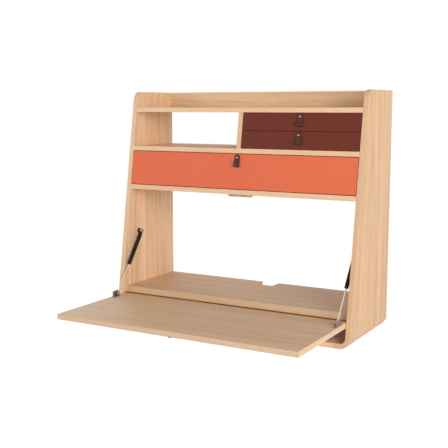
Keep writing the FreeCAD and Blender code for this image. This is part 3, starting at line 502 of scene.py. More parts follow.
@finish
def leather(graph):
    """Pebbled leather with painted edges and a rougher inner side."""
    look = settings().leather
    point = graph.coordinates()
    pebbles = graph.node("ShaderNodeTexVoronoi", {"Vector": point, "Scale": 850.0},
                         output="Distance", feature="SMOOTH_F1")
    creases = graph.noise(point, 260.0, 4.0, 0.6)
    cloud = graph.noise(point, 70.0, 2.0)
    sideways = abs(graph.split(graph.coordinates("Normal"))[0])
    edge = graph.ramp(sideways, 0.7, 0.95)
    flesh = graph.node("ShaderNodeAttribute", output="Fac", attribute_name="flesh")
    face = graph.mix(cloud, scaled(look.face, 0.75), scaled(look.face, 1.35))
    worn = graph.mix(graph.ramp(creases, 0.55, 0.75) * 0.35, face, scaled(look.face, 2.0))
    both = graph.mix(flesh, worn, look.flesh)
    return {
        "Base Color": graph.mix(edge, both, look.edge),
        "Roughness": creases * 0.25 + flesh * 0.25 - edge * 0.15 + 0.40,
        "Specular IOR Level": 0.25,
        "Normal": graph.bump(pebbles * 0.6 + creases * 0.5, 0.35, 0.25 * MM),
    }


# ---- making pieces ----

def dress(node, material):
    """Gives a carried-over node its finish."""
    slots = NODES[node].material_slots
    if slots:
        slots[0].material = material
    else:
        NODES[node].data.materials.append(material)


def stand_for(obj, node):
    """A finished piece takes the place of a node and rides on its body."""
    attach(obj, NODES[node]["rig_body"])
    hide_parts(node)
    slot_of(node)


def linked(name, data):
    """A new object at the origin of the scene."""
    obj = bpy.data.objects.new(name, data)
    bpy.context.scene.collection.objects.link(obj)
    return obj


def add_mesh(name, mesh, *materials, sharp=35):
    """Links a mesh, smooth apart from its sharp edges."""
    for material in materials:
        mesh.materials.append(material)
    mesh.shade_smooth()
    mesh.set_sharp_from_angle(angle=math.radians(sharp))
    return linked(name, mesh)


def add_piece(node, ending, bm, *materials, **options):
    """A finished bmesh, its faces turned outwards, becomes the piece that stands for a node."""
    bmesh.ops.recalc_face_normals(bm, faces=bm.faces)
    name = node + ending
    mesh = bpy.data.meshes.new(name)
    bm.to_mesh(mesh)
    bm.free()
    stand_for(add_mesh(name, mesh, *materials, **options), node)


def eased(corners, radius, steps=4):
    """A line through the corners with each inner corner rounded by a curve."""
    corners = [Vector(corner) for corner in corners]
    line = corners[:1]
    for before, corner, after in zip(corners, corners[1:], corners[2:]):
        reach = min(radius, (before - corner).length / 2, (after - corner).length / 2)
        start = corner + (before - corner).normalized() * reach
        end = corner + (after - corner).normalized() * reach
        for step in range(steps + 1):
            t = step / steps
            line.append(start * (1 - t) ** 2 + corner * (2 * t * (1 - t)) + end * t ** 2)
    return line + corners[-1:]


def turned(bm, profile, placement, segments=48, closed=False, slot=None):
    """Turns a profile of (height, radius) pairs about the placement's Z.

    An open profile starts and ends on the axis; a closed one returns to its start. The slot
    names the material of each stretch by its number."""
    rings = []
    for height, radius in profile:
        if radius == 0:
            rings.append([bm.verts.new(placement @ Vector((0, 0, height)))])
            continue
        angles = (math.tau * n / segments for n in range(segments))
        rings.append([bm.verts.new(placement @ Vector((radius * math.cos(a), radius * math.sin(a),
                                                       height))) for a in angles])
    pairs = list(zip(rings, rings[1:])) + ([(rings[-1], rings[0])] if closed else [])
    for stretch, (first, second) in enumerate(pairs):
        for n in range(segments):
            m = (n + 1) % segments
            corners = [first[n % len(first)], first[m % len(first)],
                       second[m % len(second)], second[n % len(second)]]
            face = bm.faces.new(list(dict.fromkeys(corners)))
            face.material_index = slot(stretch) if slot else 0


def lined_up(start, direction):
    """A placement whose Z runs from a point in a direction."""
    turn = direction.to_track_quat("Z", "Y").to_matrix().to_4x4()
    return Matrix.Translation(start) @ turn


def turned_mm(bm, profile, placement):
    """Turns an open profile that is given in millimetres."""
    turned(bm, [(height * MM, radius * MM) for height, radius in profile], placement)


EYE_METAL, EYE_BUSH = 1, 2  # material slots of a stay's eye


def eye_ring(bm, pivot):
    """The round eye at one end of a stay: eased rims and a dark bush set a little back."""
    outer, inner, half, ease = (v * MM for v in (7.5, 3.05, 5, 0.5))
    bush, sunk = 6.5 * MM, half - 0.3 * MM
    profile = [(-half, bush), (-half, outer - ease), (ease - half, outer), (half - ease, outer),
               (half, outer - ease), (half, bush), (sunk, bush), (sunk, inner), (-sunk, inner),
               (-sunk, bush)]
    of_bush = (6, 7, 8)  # stretches of the profile
    turned(bm, profile, lined_up(pivot, Vector((1, 0, 0))), closed=True,
           slot=lambda stretch: EYE_BUSH if stretch in of_bush else EYE_METAL)


WELD = 0.001 * MM  # apart by less than this, two vertices become one
FLUSH = math.radians(1)  # faces that meet at less than this become one
HARD_EDGE = math.radians(40)  # faces that meet at more than this get a rounded edge


def softened(node, width, *materials, mark=None):
    """A copy of a node with its pressed or moulded edges rounded, which stands for it.

    The faces that mark picks take the second material."""
    bm = bmesh.new()
    bm.from_mesh(NODES[node].data)
    bmesh.ops.remove_doubles(bm, verts=bm.verts, dist=WELD)
    bmesh.ops.dissolve_limit(bm, angle_limit=FLUSH, verts=bm.verts, edges=bm.edges)
    sharp = [e for e in bm.edges if e.is_manifold and e.calc_face_angle(0) > HARD_EDGE]
    bmesh.ops.bevel(bm, geom=sharp, offset=width, segments=2, profile=0.5, affect="EDGES",
                    clamp_overlap=True)
    bm.normal_update()
    for face in bm.faces:
        face.material_index = 1 if mark and mark(face) else 0
    add_piece(node, "_dressed", bm, *materials)


# ---- geometry nodes for fasteners ----

PLACE_VECTORS = ("out", "size")  # what each place says beside its point


def fastener_tree(name, sizes, shape):
    """A tree that stands a shape on every place, its Z along the place's "out" direction."""
    tree = bpy.data.node_groups.new(name, "GeometryNodeTree")
    kinds = {"Places": "Geometry", **dict.fromkeys(sizes, "Float"), "Seed": "Int",
             "Finish": "Material"}
    for label, kind in kinds.items():
        tree.interface.new_socket(label, in_out="INPUT", socket_type="NodeSocket" + kind)
    tree.interface.new_socket("Mesh", in_out="OUTPUT", socket_type="NodeSocketGeometry")
    graph = Graph(tree)
    given = dict(zip(kinds, graph.node("NodeGroupInput", output=tuple(kinds))))
    out, size = (graph.node("GeometryNodeInputNamedAttribute", {"Name": label},
                            data_type="FLOAT_VECTOR") for label in PLACE_VECTORS)
    facing = graph.node("FunctionNodeAlignRotationToVector", {"Vector": out}, axis="Z")
    angle = graph.node("FunctionNodeRandomValue", {2: 0.0, 3: math.tau, "Seed": given["Seed"]},
                       output=1, data_type="FLOAT")
    roll = graph.node("FunctionNodeAxisAngleToRotation", {"Axis": (0, 0, 1), "Angle": angle})
    turn = graph.node("FunctionNodeRotateRotation", {"Rotation": facing, "Rotate By": roll},
                      rotation_space="LOCAL")
    placed = graph.node("GeometryNodeInstanceOnPoints", {
        "Points": given["Places"], "Instance": shape(graph, given), "Rotation": turn,
        "Scale": size})
    real = graph.node("GeometryNodeRealizeInstances", {0: placed})
    finished = graph.node("GeometryNodeSetMaterial", {"Geometry": real, "Material": given["Finish"]})
    graph.node("NodeGroupOutput", {"Mesh": finished}, output=None)
    return tree


ARM_WIDE = 0.24  # of a recess arm's length
ARM_TALL = (0.70, 0.66)  # likewise; unequal, so that the arms' floors aren't in one plane
SHANK_START = 0.95  # of the head's depth, so that the shank starts inside the head


def screw_shape(graph, given):
    """A countersunk head with a cross recess, its face at zero height, on its shank."""
    head, shank = given["Head"] * 0.5, given["Shank"] * 0.5
    deep = head - shank
    cone = graph.node("GeometryNodeMeshCone", {
        "Vertices": 32, "Radius Top": head, "Radius Bottom": shank, "Depth": deep})
    sunk = graph.node("GeometryNodeTransform", {
        "Geometry": cone, "Translation": graph.vector(0.0, 0.0, -deep)})
    arms, long = [], given["Recess"]
    for turned_by, tall in zip((0.0, math.pi / 2), ARM_TALL):
        arm = graph.node("GeometryNodeMeshCube", {
            "Size": graph.vector(long, long * ARM_WIDE, long * tall)})
        arms.append(graph.node("GeometryNodeTransform", {
            "Geometry": arm, "Rotation": (0.0, 0.0, turned_by)}))
    cut = graph.node("GeometryNodeMeshBoolean", {0: sunk, 1: arms}, operation="DIFFERENCE")
    start = deep * SHANK_START
    bar = graph.node("GeometryNodeMeshCylinder", {
        "Vertices": 20, "Radius": shank, "Depth": given["Length"] - start})
    low = graph.node("GeometryNodeTransform", {
        "Geometry": bar, "Translation": graph.vector(0.0, 0.0, (given["Length"] + start) * -0.5)})
    return graph.node("GeometryNodeJoinGeometry", {0: [cut, low]})


def dome_shape(graph, given):
    """A domed rivet head with an upright rim, closed underneath."""
    grid = graph.node("GeometryNodeMeshGrid", {
        "Size X": 1.0, "Size Y": 1.0, "Vertices X": 41, "Vertices Y": 19})
    u, v, _ = graph.split(graph.node("GeometryNodeInputPosition"))
    around, share_in = u * -math.tau, v + 0.5
    dome_end, rim_end = 2 / 3, 5 / 6  # shares of the way from the top to the underside's middle
    dome = graph.ramp(share_in, 0.0, dome_end) * (math.pi / 2)
    rim = graph.ramp(share_in, dome_end, rim_end)
    under = graph.ramp(share_in, rim_end, 1.0)
    radius = dome.math("SINE") * (1 - under) * given["Head"] * 0.5
    tall, dome_tall, rim_tall = given["Dome"], 0.8, 0.2  # the last two are shares of the first
    height = dome.math("COSINE") * tall * dome_tall + (1 - rim) * tall * rim_tall
    where = graph.vector(radius * around.math("COSINE"), radius * around.math("SINE"), height)
    bent = graph.node("GeometryNodeSetPosition", {"Geometry": grid, "Position": where})
    return graph.node("GeometryNodeMergeByDistance", {"Geometry": bent, "Distance": WELD})


def grow_fasteners(name, tree, places, sizes, seed, material):
    """Runs a fastener tree on places of (point, direction, scale) and keeps the plain mesh."""
    points = bpy.data.meshes.new(name + "_places")
    points.from_pydata([point for point, _, _ in places], [], [])
    for column, label in enumerate(PLACE_VECTORS, 1):
        values = points.attributes.new(label, "FLOAT_VECTOR", "POINT")
        for item, place in zip(values.data, places):
            item.vector = place[column]
    carrier = linked(name + "_carrier", points)
    modifier = carrier.modifiers.new("Fasteners", "NODES")
    modifier.node_group = tree
    sockets = {i.name: i.identifier for i in tree.interface.items_tree if i.in_out == "INPUT"}
    for label, value in {**sizes, "Seed": seed, "Finish": material}.items():
        modifier[sockets[label]] = value
    evaluated = carrier.evaluated_get(bpy.context.evaluated_depsgraph_get())
    mesh = bpy.data.meshes.new_from_object(evaluated)
    mesh.name = name
    bpy.data.objects.remove(carrier)
    bpy.data.meshes.remove(points)
    for label in PLACE_VECTORS:
        if label in mesh.attributes:
            mesh.attributes.remove(mesh.attributes[label])
    return add_mesh(name, mesh)


# ---- pulls ----

def pull_frames():
    """Each pull's name and placement: origin at the middle of its upper end, -Y outwards."""
    tall = settings().leather.tall
    frames = {}
    for drawer in DRAWERS:
        name = drawer + "_pull"
        low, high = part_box(name)
        origin = Vector(((low.x + high.x) / 2, high.y, low.z + tall * math.cos(LEAN_ANGLE)))
        frames[name] = Matrix.Translation(origin) @ Matrix.Rotation(-LEAN_ANGLE, 4, "X")
    low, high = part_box("leaf_pull")
    origin = Vector(((low.x + high.x) / 2, low.y, high.z))
    frames["leaf_pull"] = Matrix.Translation(origin) @ Matrix.Rotation(math.radians(90), 4, "X")
    return frames


PLAY = 0.05 * MM  # behind a strap, and between its two halves
TIP_STEPS = (0.3, 0.8, 1.6, 2.8, 4.4, 6.4)  # millimetres below the strap's two ends


def strap_line(look):
    """The middle of the strap's thickness, in (y, z), from one end round the fold to the other."""
    half = look.thickness / 2
    back = -half - PLAY
    front = half - look.loop
    radius = (back - front) / 2
    low = half + radius - look.tall
    steps = 14
    fold = [(back + radius * (math.cos(a) - 1), low - radius * math.sin(a))
            for a in (math.pi * n / steps for n in range(steps + 1))]
    pinch = back - look.thickness - PLAY
    parted, meeting, ease = -20 * MM, -15 * MM, 0.6 * MM
    rise = [fold[-1], (front, low + 6 * MM), (pinch - ease, parted), (pinch, meeting),
            (pinch, -8.4 * MM)]
    down = [Vector((back, -z * MM)) for z in (*TIP_STEPS, 8.4, 14, 22, 32)]
    up = eased(rise, 9 * MM, steps=5)
    tip = [Vector((pinch, -z * MM)) for z in reversed(TIP_STEPS)]
    return down + [Vector(p) for p in fold] + up[1:] + tip


def half_width(look, z):
    """Half of the strap's width at a height, with rounded upper ends and an eased fold."""
    wide = look.head / 2 + (look.foot - look.head) / 2 * (-z / look.tall)
    for corner, inside in ((look.corner, -z), (look.fold_corner, look.tall + z)):
        near_end = max(corner - max(inside, 0.0), 0.0)
        wide -= corner - math.sqrt(corner ** 2 - near_end ** 2)
    return wide


def strap_section(half, thickness):
    """A flat section with rounded edges, as (x, distance through the thickness) pairs."""
    round_off = 0.8 * MM
    section = []
    for side, face, first in ((1, -1, -90), (1, 1, 0), (-1, 1, 90), (-1, -1, 180)):
        x, through = side * (half - round_off), face * (thickness / 2 - round_off)
        for step in range(4):
            a = math.radians(first + 30 * step)
            section.append((x + round_off * math.cos(a), through + round_off * math.sin(a)))
    return section


def make_pull(name, placement):
    """A leather strap folded over itself, thickest at the fold."""
    look = settings().leather
    line = strap_line(look)
    bm = bmesh.new()
    flesh = bm.verts.layers.float.new("flesh")
    flesh_side = 0.3 * look.thickness  # further in than this, a vertex is on the flesh side
    rings = []
    for index, here in enumerate(line):
        before, after = line[max(index - 1, 0)], line[min(index + 1, len(line) - 1)]
        run = (after - before).normalized()
        outward = Vector((-run.y, run.x))  # away from the inside of the fold
        ring = []
        for x, through in strap_section(half_width(look, here.y), look.thickness):
            at = here + outward * through
            vertex = bm.verts.new(placement @ Vector((x, at.x, at.y)))
            vertex[flesh] = 1.0 if -through > flesh_side else 0.0
            ring.append(vertex)
        rings.append(ring)
    for first, second in zip(rings, rings[1:]):
        for n in range(len(first)):
            m = (n + 1) % len(first)
            bm.faces.new((first[n], first[m], second[m], second[n]))
    bm.faces.new(rings[0])
    bm.faces.new(list(reversed(rings[-1])))
    add_piece(name, "_strap", bm, leather("pull_leather"), sharp=50)


# ---- operators ----

class DeskOperator:
    """What the desk's operators share."""

    bl_options = {"REGISTER", "UNDO"}


# side of each square lamp and its place, in metres
LAMPS = {
    "key": (5.6, (7.0, -5.8, 1.3)),
    "accent": (1.2, (3.5, -2.9, 0.65)),
    "side": (1.2, (4.2, -1.6, 0.6)),
    "fill": (1.4, (-1.9, -2.4, 0.5)),
    "back_right": (2.4, (2.6, 1.6, 1.0)),
    "back_left": (2.4, (-3.2, 1.3, 1.0)),
}
AIM = Vector((0, -0.2, -0.15))  # where the lamps point
FLOOR_HALF = 8.0  # half of the floor's side
FLOOR_TONE = (0.82, 0.82, 0.82)
FLOOR_WHITE = 0.85  # share of plain white in what is seen of the floor
FLOOR_GLOW = 1.165  # strength of that white


class WALLDESK_OT_stage(DeskOperator, bpy.types.Operator):
    """Camera, lamps, even surroundings and a pale floor under the hung desk"""
    bl_idname = "wall_desk.stage"
    bl_label = "Stage"

    def execute(self, context):
        stage = context.scene.wall_desk.stage
        self.add_camera(stage)
        for name, (size, place) in LAMPS.items():
            self.add_lamp(name, getattr(stage, name), size, place)
        self.light_world(stage)
        self.add_floor(stage)
        context.scene.view_settings.view_transform = "Standard"
        return {"FINISHED"}

    def add_camera(self, stage):
        data = bpy.data.cameras.new("camera")
        data.lens = stage.lens
        camera = linked("camera", data)
        camera.location = stage.camera
        camera.rotation_euler = (math.radians(90) - stage.pitch, 0, stage.azimuth)
        bpy.context.scene.camera = camera

    def add_lamp(self, name, power, size, place):
        data = bpy.data.lights.new(name, "AREA")
        data.energy = power
        data.size = size
        lamp = linked(name, data)
        lamp.location = place
        lamp.rotation_euler = (AIM - Vector(place)).to_track_quat("-Z", "Y").to_euler()

    def seen_directly(self, graph):
        """1 for what the camera, a reflection or a transparent surface shows."""
        rays = ("Is Camera Ray", "Is Glossy Ray", "Is Transmission Ray")
        camera, glossy, through = graph.node("ShaderNodeLightPath", output=rays)
        return camera.most(glossy).most(through)

    def light_world(self, stage):
        world = bpy.data.worlds.new("surroundings")
        world.use_nodes = True
        world.node_tree.nodes.clear()
        graph = Graph(world.node_tree)
        ambient = graph.node("ShaderNodeBackground", {"Color": (1, 1, 1), "Strength": stage.ambient})
        white = graph.node("ShaderNodeBackground", {"Color": (1, 1, 1), "Strength": 1.0})
        mixed = graph.node("ShaderNodeMixShader", {0: self.seen_directly(graph), 1: ambient,
                                                   2: white})
        graph.node("ShaderNodeOutputWorld", {"Surface": mixed}, output=None)
        bpy.context.scene.world = world

    def add_floor(self, stage):
        half, height = FLOOR_HALF, SIDE_LOW.z - stage.floor
        corners = [(x * half, y * half, height) for x, y in ((-1, -1), (1, -1), (1, 1), (-1, 1))]
        mesh = bpy.data.meshes.new("floor")
        mesh.from_pydata(corners, [], [(0, 1, 2, 3)])
        material, graph = new_material("pale_floor")
        plain = graph.node("ShaderNodeBsdfDiffuse", {"Color": FLOOR_TONE})
        white = graph.node("ShaderNodeEmission", {"Color": (1, 1, 1), "Strength": FLOOR_GLOW})
        share_white = self.seen_directly(graph) * FLOOR_WHITE
        end_material(graph, graph.node("ShaderNodeMixShader", {0: share_white, 1: plain, 2: white}))
        mesh.materials.append(material)
        floor = linked("floor", mesh)


class WALLDESK_OT_carcase(DeskOperator, bpy.types.Operator):
    """Oak veneer on the sides, shelves, rails and divider"""
    bl_idname = "wall_desk.carcase"
    bl_label = "Carcase"

    def execute(self, context):
        veneer = context.scene.wall_desk.veneer
        # painted shade: each side gets its own darkened copy of the oak for how it is lit
        for side, painted_light in (("right", veneer.right_painted_light), ("left", veneer.left_painted_light)):
            dress(side + "_side_panel", oak("bent", side + "_oak", painted_light, veneer.side_contrast))
        for node in ("bottom_panel", "top_shelf", "mid_shelf", "lower_shelf", "hinge_rail"):
            dress(node, oak("xyz"))
        # painted shade: the catch block, the top rail and the divider get their own darkened copies
        # of the oak
        dress("catch_block", oak("xyz", "catch_oak", veneer.catch_painted_light))
        dress("top_rail", oak("xzy", "rail_oak", veneer.rail_painted_light))
        dress("hanging_rail", oak("xzy"))
        dress("divider", oak("zyx", "divider_oak", veneer.divider_painted_light))
        dress("carcase_dowels", birch("xyz"))
        return {"FINISHED"}


class WALLDESK_OT_worktops(DeskOperator, bpy.types.Operator):
    """Oak veneer on the fixed desktop and the leaf"""
    bl_idname = "wall_desk.worktops"
    bl_label = "Worktops"

    def execute(self, context):
        veneer = context.scene.wall_desk.veneer
        # painted shade and painted sheen: darkened, greyed copies of the oak on the desktop and the
        # leaf
        dress("fixed_desktop", oak("xyz", "desktop_oak", veneer.desktop_painted_light, veneer.top_contrast))
        dress("leaf", oak("xyz", "leaf_oak", veneer.leaf_painted_light, veneer.top_contrast))
        return {"FINISHED"}


class WALLDESK_OT_drawers(DeskOperator, bpy.types.Operator):
    """Lacquered drawer fronts and pale ply boxes"""
    bl_idname = "wall_desk.drawers"
    bl_label = "Drawers"

    def execute(self, context):
        look = context.scene.wall_desk
        dress("wide_drawer_front", lacquer("coral_front", look.lacquer.coral))
        burgundy = lacquer("burgundy_front", look.lacquer.burgundy)
        for drawer in DRAWERS[1:]:
            dress(drawer + "_front", burgundy)
        for drawer in DRAWERS:
            dress(drawer + "_back", birch("xzy"))
            dress(drawer + "_floor", birch("xyz"))
        for node in ("wide_drawer_right_side", "wide_drawer_left_side",
                     "lower_small_drawer_sides", "upper_small_drawer_sides"):
            dress(node, birch("yzx"))
        return {"FINISHED"}


class WALLDESK_OT_pulls(DeskOperator, bpy.types.Operator):
    """Folded leather pulls on the drawers and under the leaf"""
    bl_idname = "wall_desk.pulls"
    bl_label = "Pulls"

    def execute(self, context):
        for name, placement in pull_frames().items():
            make_pull(name, placement)
        return {"FINISHED"}


PLAIN = (1, 1, 1)  # scale of a fastener as it is drawn
WASHER = (1.33, 1.33, 0.38)  # scale that makes a rivet's dome its flat backing washer
FRONT_BACK = 16 * MM  # from a pull's seat to the back of its drawer front
FLAP_SCREWS = 8


class WALLDESK_OT_rivets(DeskOperator, bpy.types.Operator):
    """Domed rivets through the pulls, with their backing washers"""
    bl_idname = "wall_desk.rivets"
    bl_label = "Rivets"

    def execute(self, context):
        look = context.scene.wall_desk
        hardware = look.hardware
        brass = metal("domed_brass", hardware.rivet, 0.25)
        tree = fastener_tree("domed_rivets", ("Head", "Dome"), dome_shape)
        sizes = {"Head": hardware.rivet_head, "Dome": hardware.rivet_dome}
        strap = look.leather
        for name, placement in pull_frames().items():
            out = placement.to_3x3() @ Vector((0, -1, 0))
            seat = placement @ Vector((0, -2 * (strap.thickness + PLAY), -strap.rivet_drop))
            places = [(seat, out, PLAIN)]
            if name != "leaf_pull":
                behind = placement @ Vector((0, FRONT_BACK, -strap.rivet_drop))
                places.append((behind, -out, WASHER))
            node = name + "_rivet"
            stand_for(grow_fasteners(node + "_domed", tree, places, sizes, 0, brass), node)
        return {"FINISHED"}


class WALLDESK_OT_hinge(DeskOperator, bpy.types.Operator):
    """Dark brown on the continuous hinge, painted shadow that stands for the dark line in the gap
    between the desktop and the leaf
    """
    bl_idname = "wall_desk.hinge"
    bl_label = "Hinge"

    def execute(self, context):
        hardware = context.scene.wall_desk.hardware
        shadow_brown = metal("hinge_bronze", hardware.hinge, 0.42, brush="x")
        for node in ("hinge_rail_flap", "hinge_leaf_flap", "hinge_pin"):
            dress(node, shadow_brown)
        return {"FINISHED"}


def spread(low, high, count):
    return [low + (high - low) * n / (count - 1) for n in range(count)]


class WALLDESK_OT_screws(DeskOperator, bpy.types.Operator):
    """Countersunk screws with cross recesses in the hinge and the leaf's brackets"""
    bl_idname = "wall_desk.screws"
    bl_label = "Screws"

    def execute(self, context):
        hardware = context.scene.wall_desk.hardware
        half = hardware.screw_head / 2
        tree = fastener_tree("countersunk_screws", ("Head", "Shank", "Length", "Recess"),
                             screw_shape)
        sizes = {"Head": hardware.screw_head, "Shank": hardware.screw_shank,
                 "Length": hardware.screw_long, "Recess": hardware.recess}
        # painted shadow: the flaps' screws take the hinge's dark brown
        shadow_brown = metal("hinge_bronze", hardware.hinge, 0.42, brush="x")
        zinc = metal("screw_zinc", hardware.zinc, 0.3)
        sets = {}
        for node, toward in (("hinge_rail_flap_screws", -1), ("hinge_leaf_flap_screws", 1)):
            low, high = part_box(node)
            y, z = (low.y if toward < 0 else high.y), (low.z + high.z) / 2
            sets[node] = (shadow_brown, [(Vector((x, y, z)), (0, toward, 0), PLAIN)
                                   for x in spread(low.x + half, high.x - half, FLAP_SCREWS)])
        low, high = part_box("leaf_bracket_screws")
        sets["leaf_bracket_screws"] = (zinc, [
            (Vector(((high.x - half) * sign, y, high.z)), (0, 0, 1), PLAIN)
            for sign in SIDES.values() for y in (low.y + half, high.y - half)])
        for node, (material, places) in sets.items():
            stand_for(grow_fasteners(node + "_set", tree, places, sizes, hardware.roll_seed,
                                     material), node)
        return {"FINISHED"}


def stay_bush(hardware):
    return paint("stay_bush", hardware.bush, 0.5, 0.2)


class WALLDESK_OT_stays(DeskOperator, bpy.types.Operator):
    """The gas stays: painted tubes with rolled ends, bright rods and their eyes"""
    bl_idname = "wall_desk.stays"
    bl_label = "Stays"

    def execute(self, context):
        hardware = context.scene.wall_desk.hardware
        tube_paint = paint("tube_paint", hardware.tube, 0.45, 0.08)
        # painted reflection: the rods' tone stands for the oak they reflect
        bright = metal("polished_steel", hardware.rod, 0.22)
        bush = stay_bush(hardware)
        # painted light and shade: lit and shaded copies of one zinc for the upper and lower eyes
        upper_eye = metal("upper_eye_zinc", hardware.upper_eye, 0.4)
        lower_eye = metal("lower_eye_zinc", hardware.lower_eye, 0.4)
        for side, sign in SIDES.items():
            upper = Vector((STAY_X * sign, UPPER_PIVOT.y, UPPER_PIVOT.z))
            lower = Vector((STAY_X * sign, LOWER_PIVOT.y, LOWER_PIVOT.z))
            placement = lined_up(upper, lower - upper)
            long = (lower - upper).length
            self.add_tube(side + "_stay_tube", placement, upper, tube_paint, upper_eye, bush)
            self.add_rod(side + "_stay_rod", placement, lower, long, bright, lower_eye, bush)
        return {"FINISHED"}

    def add_tube(self, node, placement, pivot, *materials):
        """Neck, body with a crimped groove, a rolled mouth, the bore of the rod and the eye."""
        neck, body, groove, bore, hollow = 5, 7.5, 7, 3.08, 6
        profile = [
            (6.2, 0), (6.2, 4.6), (6.8, neck), (11.6, neck), (13.4, 5.6), (14, 6.4), (15.4, body),
            (145.2, body), (146.2, groove), (147.4, groove), (148.4, body), (153.4, body),
            (155, 6.1), (155, 4.2), (154.2, 3.5), (154.2, bore), (151, bore), (151, hollow),
            (18, hollow), (18, 0)]
        self.add_half(node, "_painted", profile, placement, pivot, *materials)

    def add_rod(self, node, placement, pivot, long, *materials):
        """Piston, rod, a shouldered collar and the lower eye.

        The piston's heights are taken from the upper pivot, the collar's from the lower one."""
        long = long / MM
        piston, rod, collar, waist = 5.92, 3, 4.25, 3.8
        upper = [(140, 0), (140, 5.6), (140.3, piston), (146.7, piston), (147, 5.6), (147, rod)]
        lower = ((13, rod), (13, 3.7), (12.5, collar), (9.6, collar), (9.1, waist), (8.4, waist),
                 (7.9, collar), (6.2, collar), (6.2, 0))
        profile = upper + [(long - height, radius) for height, radius in lower]
        self.add_half(node, "_bright", profile, placement, pivot, *materials)

    def add_half(self, node, ending, profile, placement, pivot, *materials):
        """The tube's or the rod's half of a stay, with its eye."""
        bm = bmesh.new()
        turned_mm(bm, profile, placement)
        eye_ring(bm, pivot)
        add_piece(node, ending, bm, *materials)


class WALLDESK_OT_studs(DeskOperator, bpy.types.Operator):
    """Shoulder studs through the eyes of the stays"""
    bl_idname = "wall_desk.studs"
    bl_label = "Studs"

    def execute(self, context):
        hardware = context.scene.wall_desk.hardware
        steel = metal("stud_steel", hardware.stud, 0.3)
        for side, sign in SIDES.items():
            node = side + "_stay_upper_stud"
            bm = bmesh.new()
            self.add_stud(bm, node, sign)
            add_piece(node, "_bright", bm, steel)
        bm = bmesh.new()
        for sign in SIDES.values():
            self.add_stud(bm, "stay_lower_studs", sign)
        add_piece("stay_lower_studs", "_bright", bm, steel)
        return {"FINISHED"}

    def add_stud(self, bm, node, sign):
        """A slightly domed head with a turned dimple, on a plain shank."""
        points = [v.co for v in NODES[node].data.vertices if v.co.x * sign > 0]
        inner, outer = (f(abs(p.x) for p in points) for f in (min, max))
        middle = centre(node)
        placement = lined_up(Vector((sign * inner, middle.y, middle.z)), Vector((sign, 0, 0)))
        head, shank, end = 4.5, 3, (outer - inner) / MM
        profile = [(0.9, 0), (0.9, 1.1), (0.1, 1.7), (0, 2.2), (0.15, 3.3), (0.6, 4.1), (1.2, head),
                   (3.2, head), (3.5, 4.2), (3.5, shank), (end - 0.3, shank), (end, 2.7), (end, 0)]
        turned_mm(bm, profile, placement)


class WALLDESK_OT_brackets(DeskOperator, bpy.types.Operator):
    """Dark flanges of the stays on the sides, and zinc-plated brackets on the leaf whose tone and
    inner faces are darkened as painted shade
    """
    bl_idname = "wall_desk.brackets"
    bl_label = "Brackets"

    def execute(self, context):
        hardware = context.scene.wall_desk.hardware
        dark = metal("bracket_dark", hardware.flange, 0.42)
        # painted shade: the brackets take the lower eyes' shaded zinc
        zinc = metal("bracket_zinc", hardware.lower_eye, 0.4)
        bush = stay_bush(hardware)
        for side, sign in SIDES.items():
            softened(side + "_stay_bracket", hardware.soft_edge, dark)
            # painted shade: the faces that look to the desk's middle are as dark as the bushes, so
            # that the left bracket, seen from its inner side, looks shaded
            softened(side + "_leaf_bracket", hardware.soft_edge, zinc, bush,
                     mark=lambda face: face.normal.x * sign < -0.9)
        return {"FINISHED"}


class WALLDESK_OT_catch(DeskOperator, bpy.types.Operator):
    """Magnet housing and the strike plate in the leaf"""
    bl_idname = "wall_desk.catch"
    bl_label = "Catch"

    def execute(self, context):
        hardware = context.scene.wall_desk.hardware
        # painted shade: the housing is greyed for the shade under its shelf
        housing = paint("catch_housing", hardware.housing, 0.55)
        softened("magnet_catch", hardware.soft_edge, housing)
        dress("strike_plate", paint("strike_paint", hardware.strike, 0.5))
        return {"FINISHED"}


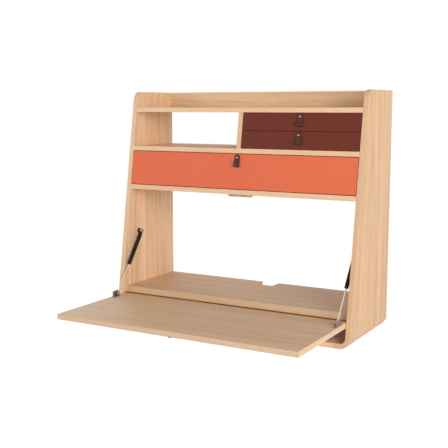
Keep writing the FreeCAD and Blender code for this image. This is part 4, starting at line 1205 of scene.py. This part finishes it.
class WALLDESK_OT_slides(DeskOperator, bpy.types.Operator):
    """Zinc-plated drawer slides"""
    bl_idname = "wall_desk.slides"
    bl_label = "Slides"

    def execute(self, context):
        hardware = context.scene.wall_desk.hardware
        zinc = metal("slide_zinc", hardware.zinc, 0.34, brush="y")
        for drawer in DRAWERS:
            dress(drawer + "_slides", zinc)
        for node in ("wide_drawer_rails", "small_drawer_rails"):
            dress(node, zinc)
        return {"FINISHED"}


class WALLDESK_PT_panel(bpy.types.Panel):
    """The desk's pieces, in the order in which they are made"""
    bl_idname = "WALLDESK_PT_panel"
    bl_label = "Fold-Down Wall Desk"
    bl_space_type = "VIEW_3D"
    bl_region_type = "UI"
    bl_category = "Wall Desk"

    def draw(self, context):
        for operator in OPERATORS:
            self.layout.operator(operator.bl_idname)


GROUPS = (WallDeskVeneer, WallDeskLacquer, WallDeskLeather, WallDeskHardware, WallDeskStage,
          WallDeskSettings)
OPERATORS = (WALLDESK_OT_stage, WALLDESK_OT_carcase, WALLDESK_OT_worktops, WALLDESK_OT_drawers,
             WALLDESK_OT_pulls, WALLDESK_OT_rivets, WALLDESK_OT_hinge, WALLDESK_OT_screws,
             WALLDESK_OT_stays, WALLDESK_OT_studs, WALLDESK_OT_brackets, WALLDESK_OT_catch,
             WALLDESK_OT_slides)
CLASSES = (*GROUPS, *OPERATORS, WALLDESK_PT_panel)


def register():
    for item in CLASSES:
        bpy.utils.register_class(item)
    bpy.types.Scene.wall_desk = PointerProperty(type=WallDeskSettings)


def unregister():
    del bpy.types.Scene.wall_desk
    for item in reversed(CLASSES):
        bpy.utils.unregister_class(item)


def main():
    register()
    bpy.ops.wall_desk.stage()
    bpy.ops.wall_desk.carcase()
    bpy.ops.wall_desk.worktops()
    bpy.ops.wall_desk.drawers()
    bpy.ops.wall_desk.pulls()
    bpy.ops.wall_desk.rivets()
    bpy.ops.wall_desk.hinge()
    bpy.ops.wall_desk.screws()
    bpy.ops.wall_desk.stays()
    bpy.ops.wall_desk.studs()
    bpy.ops.wall_desk.brackets()
    bpy.ops.wall_desk.catch()
    bpy.ops.wall_desk.slides()


if __name__ == "__main__":
    main()
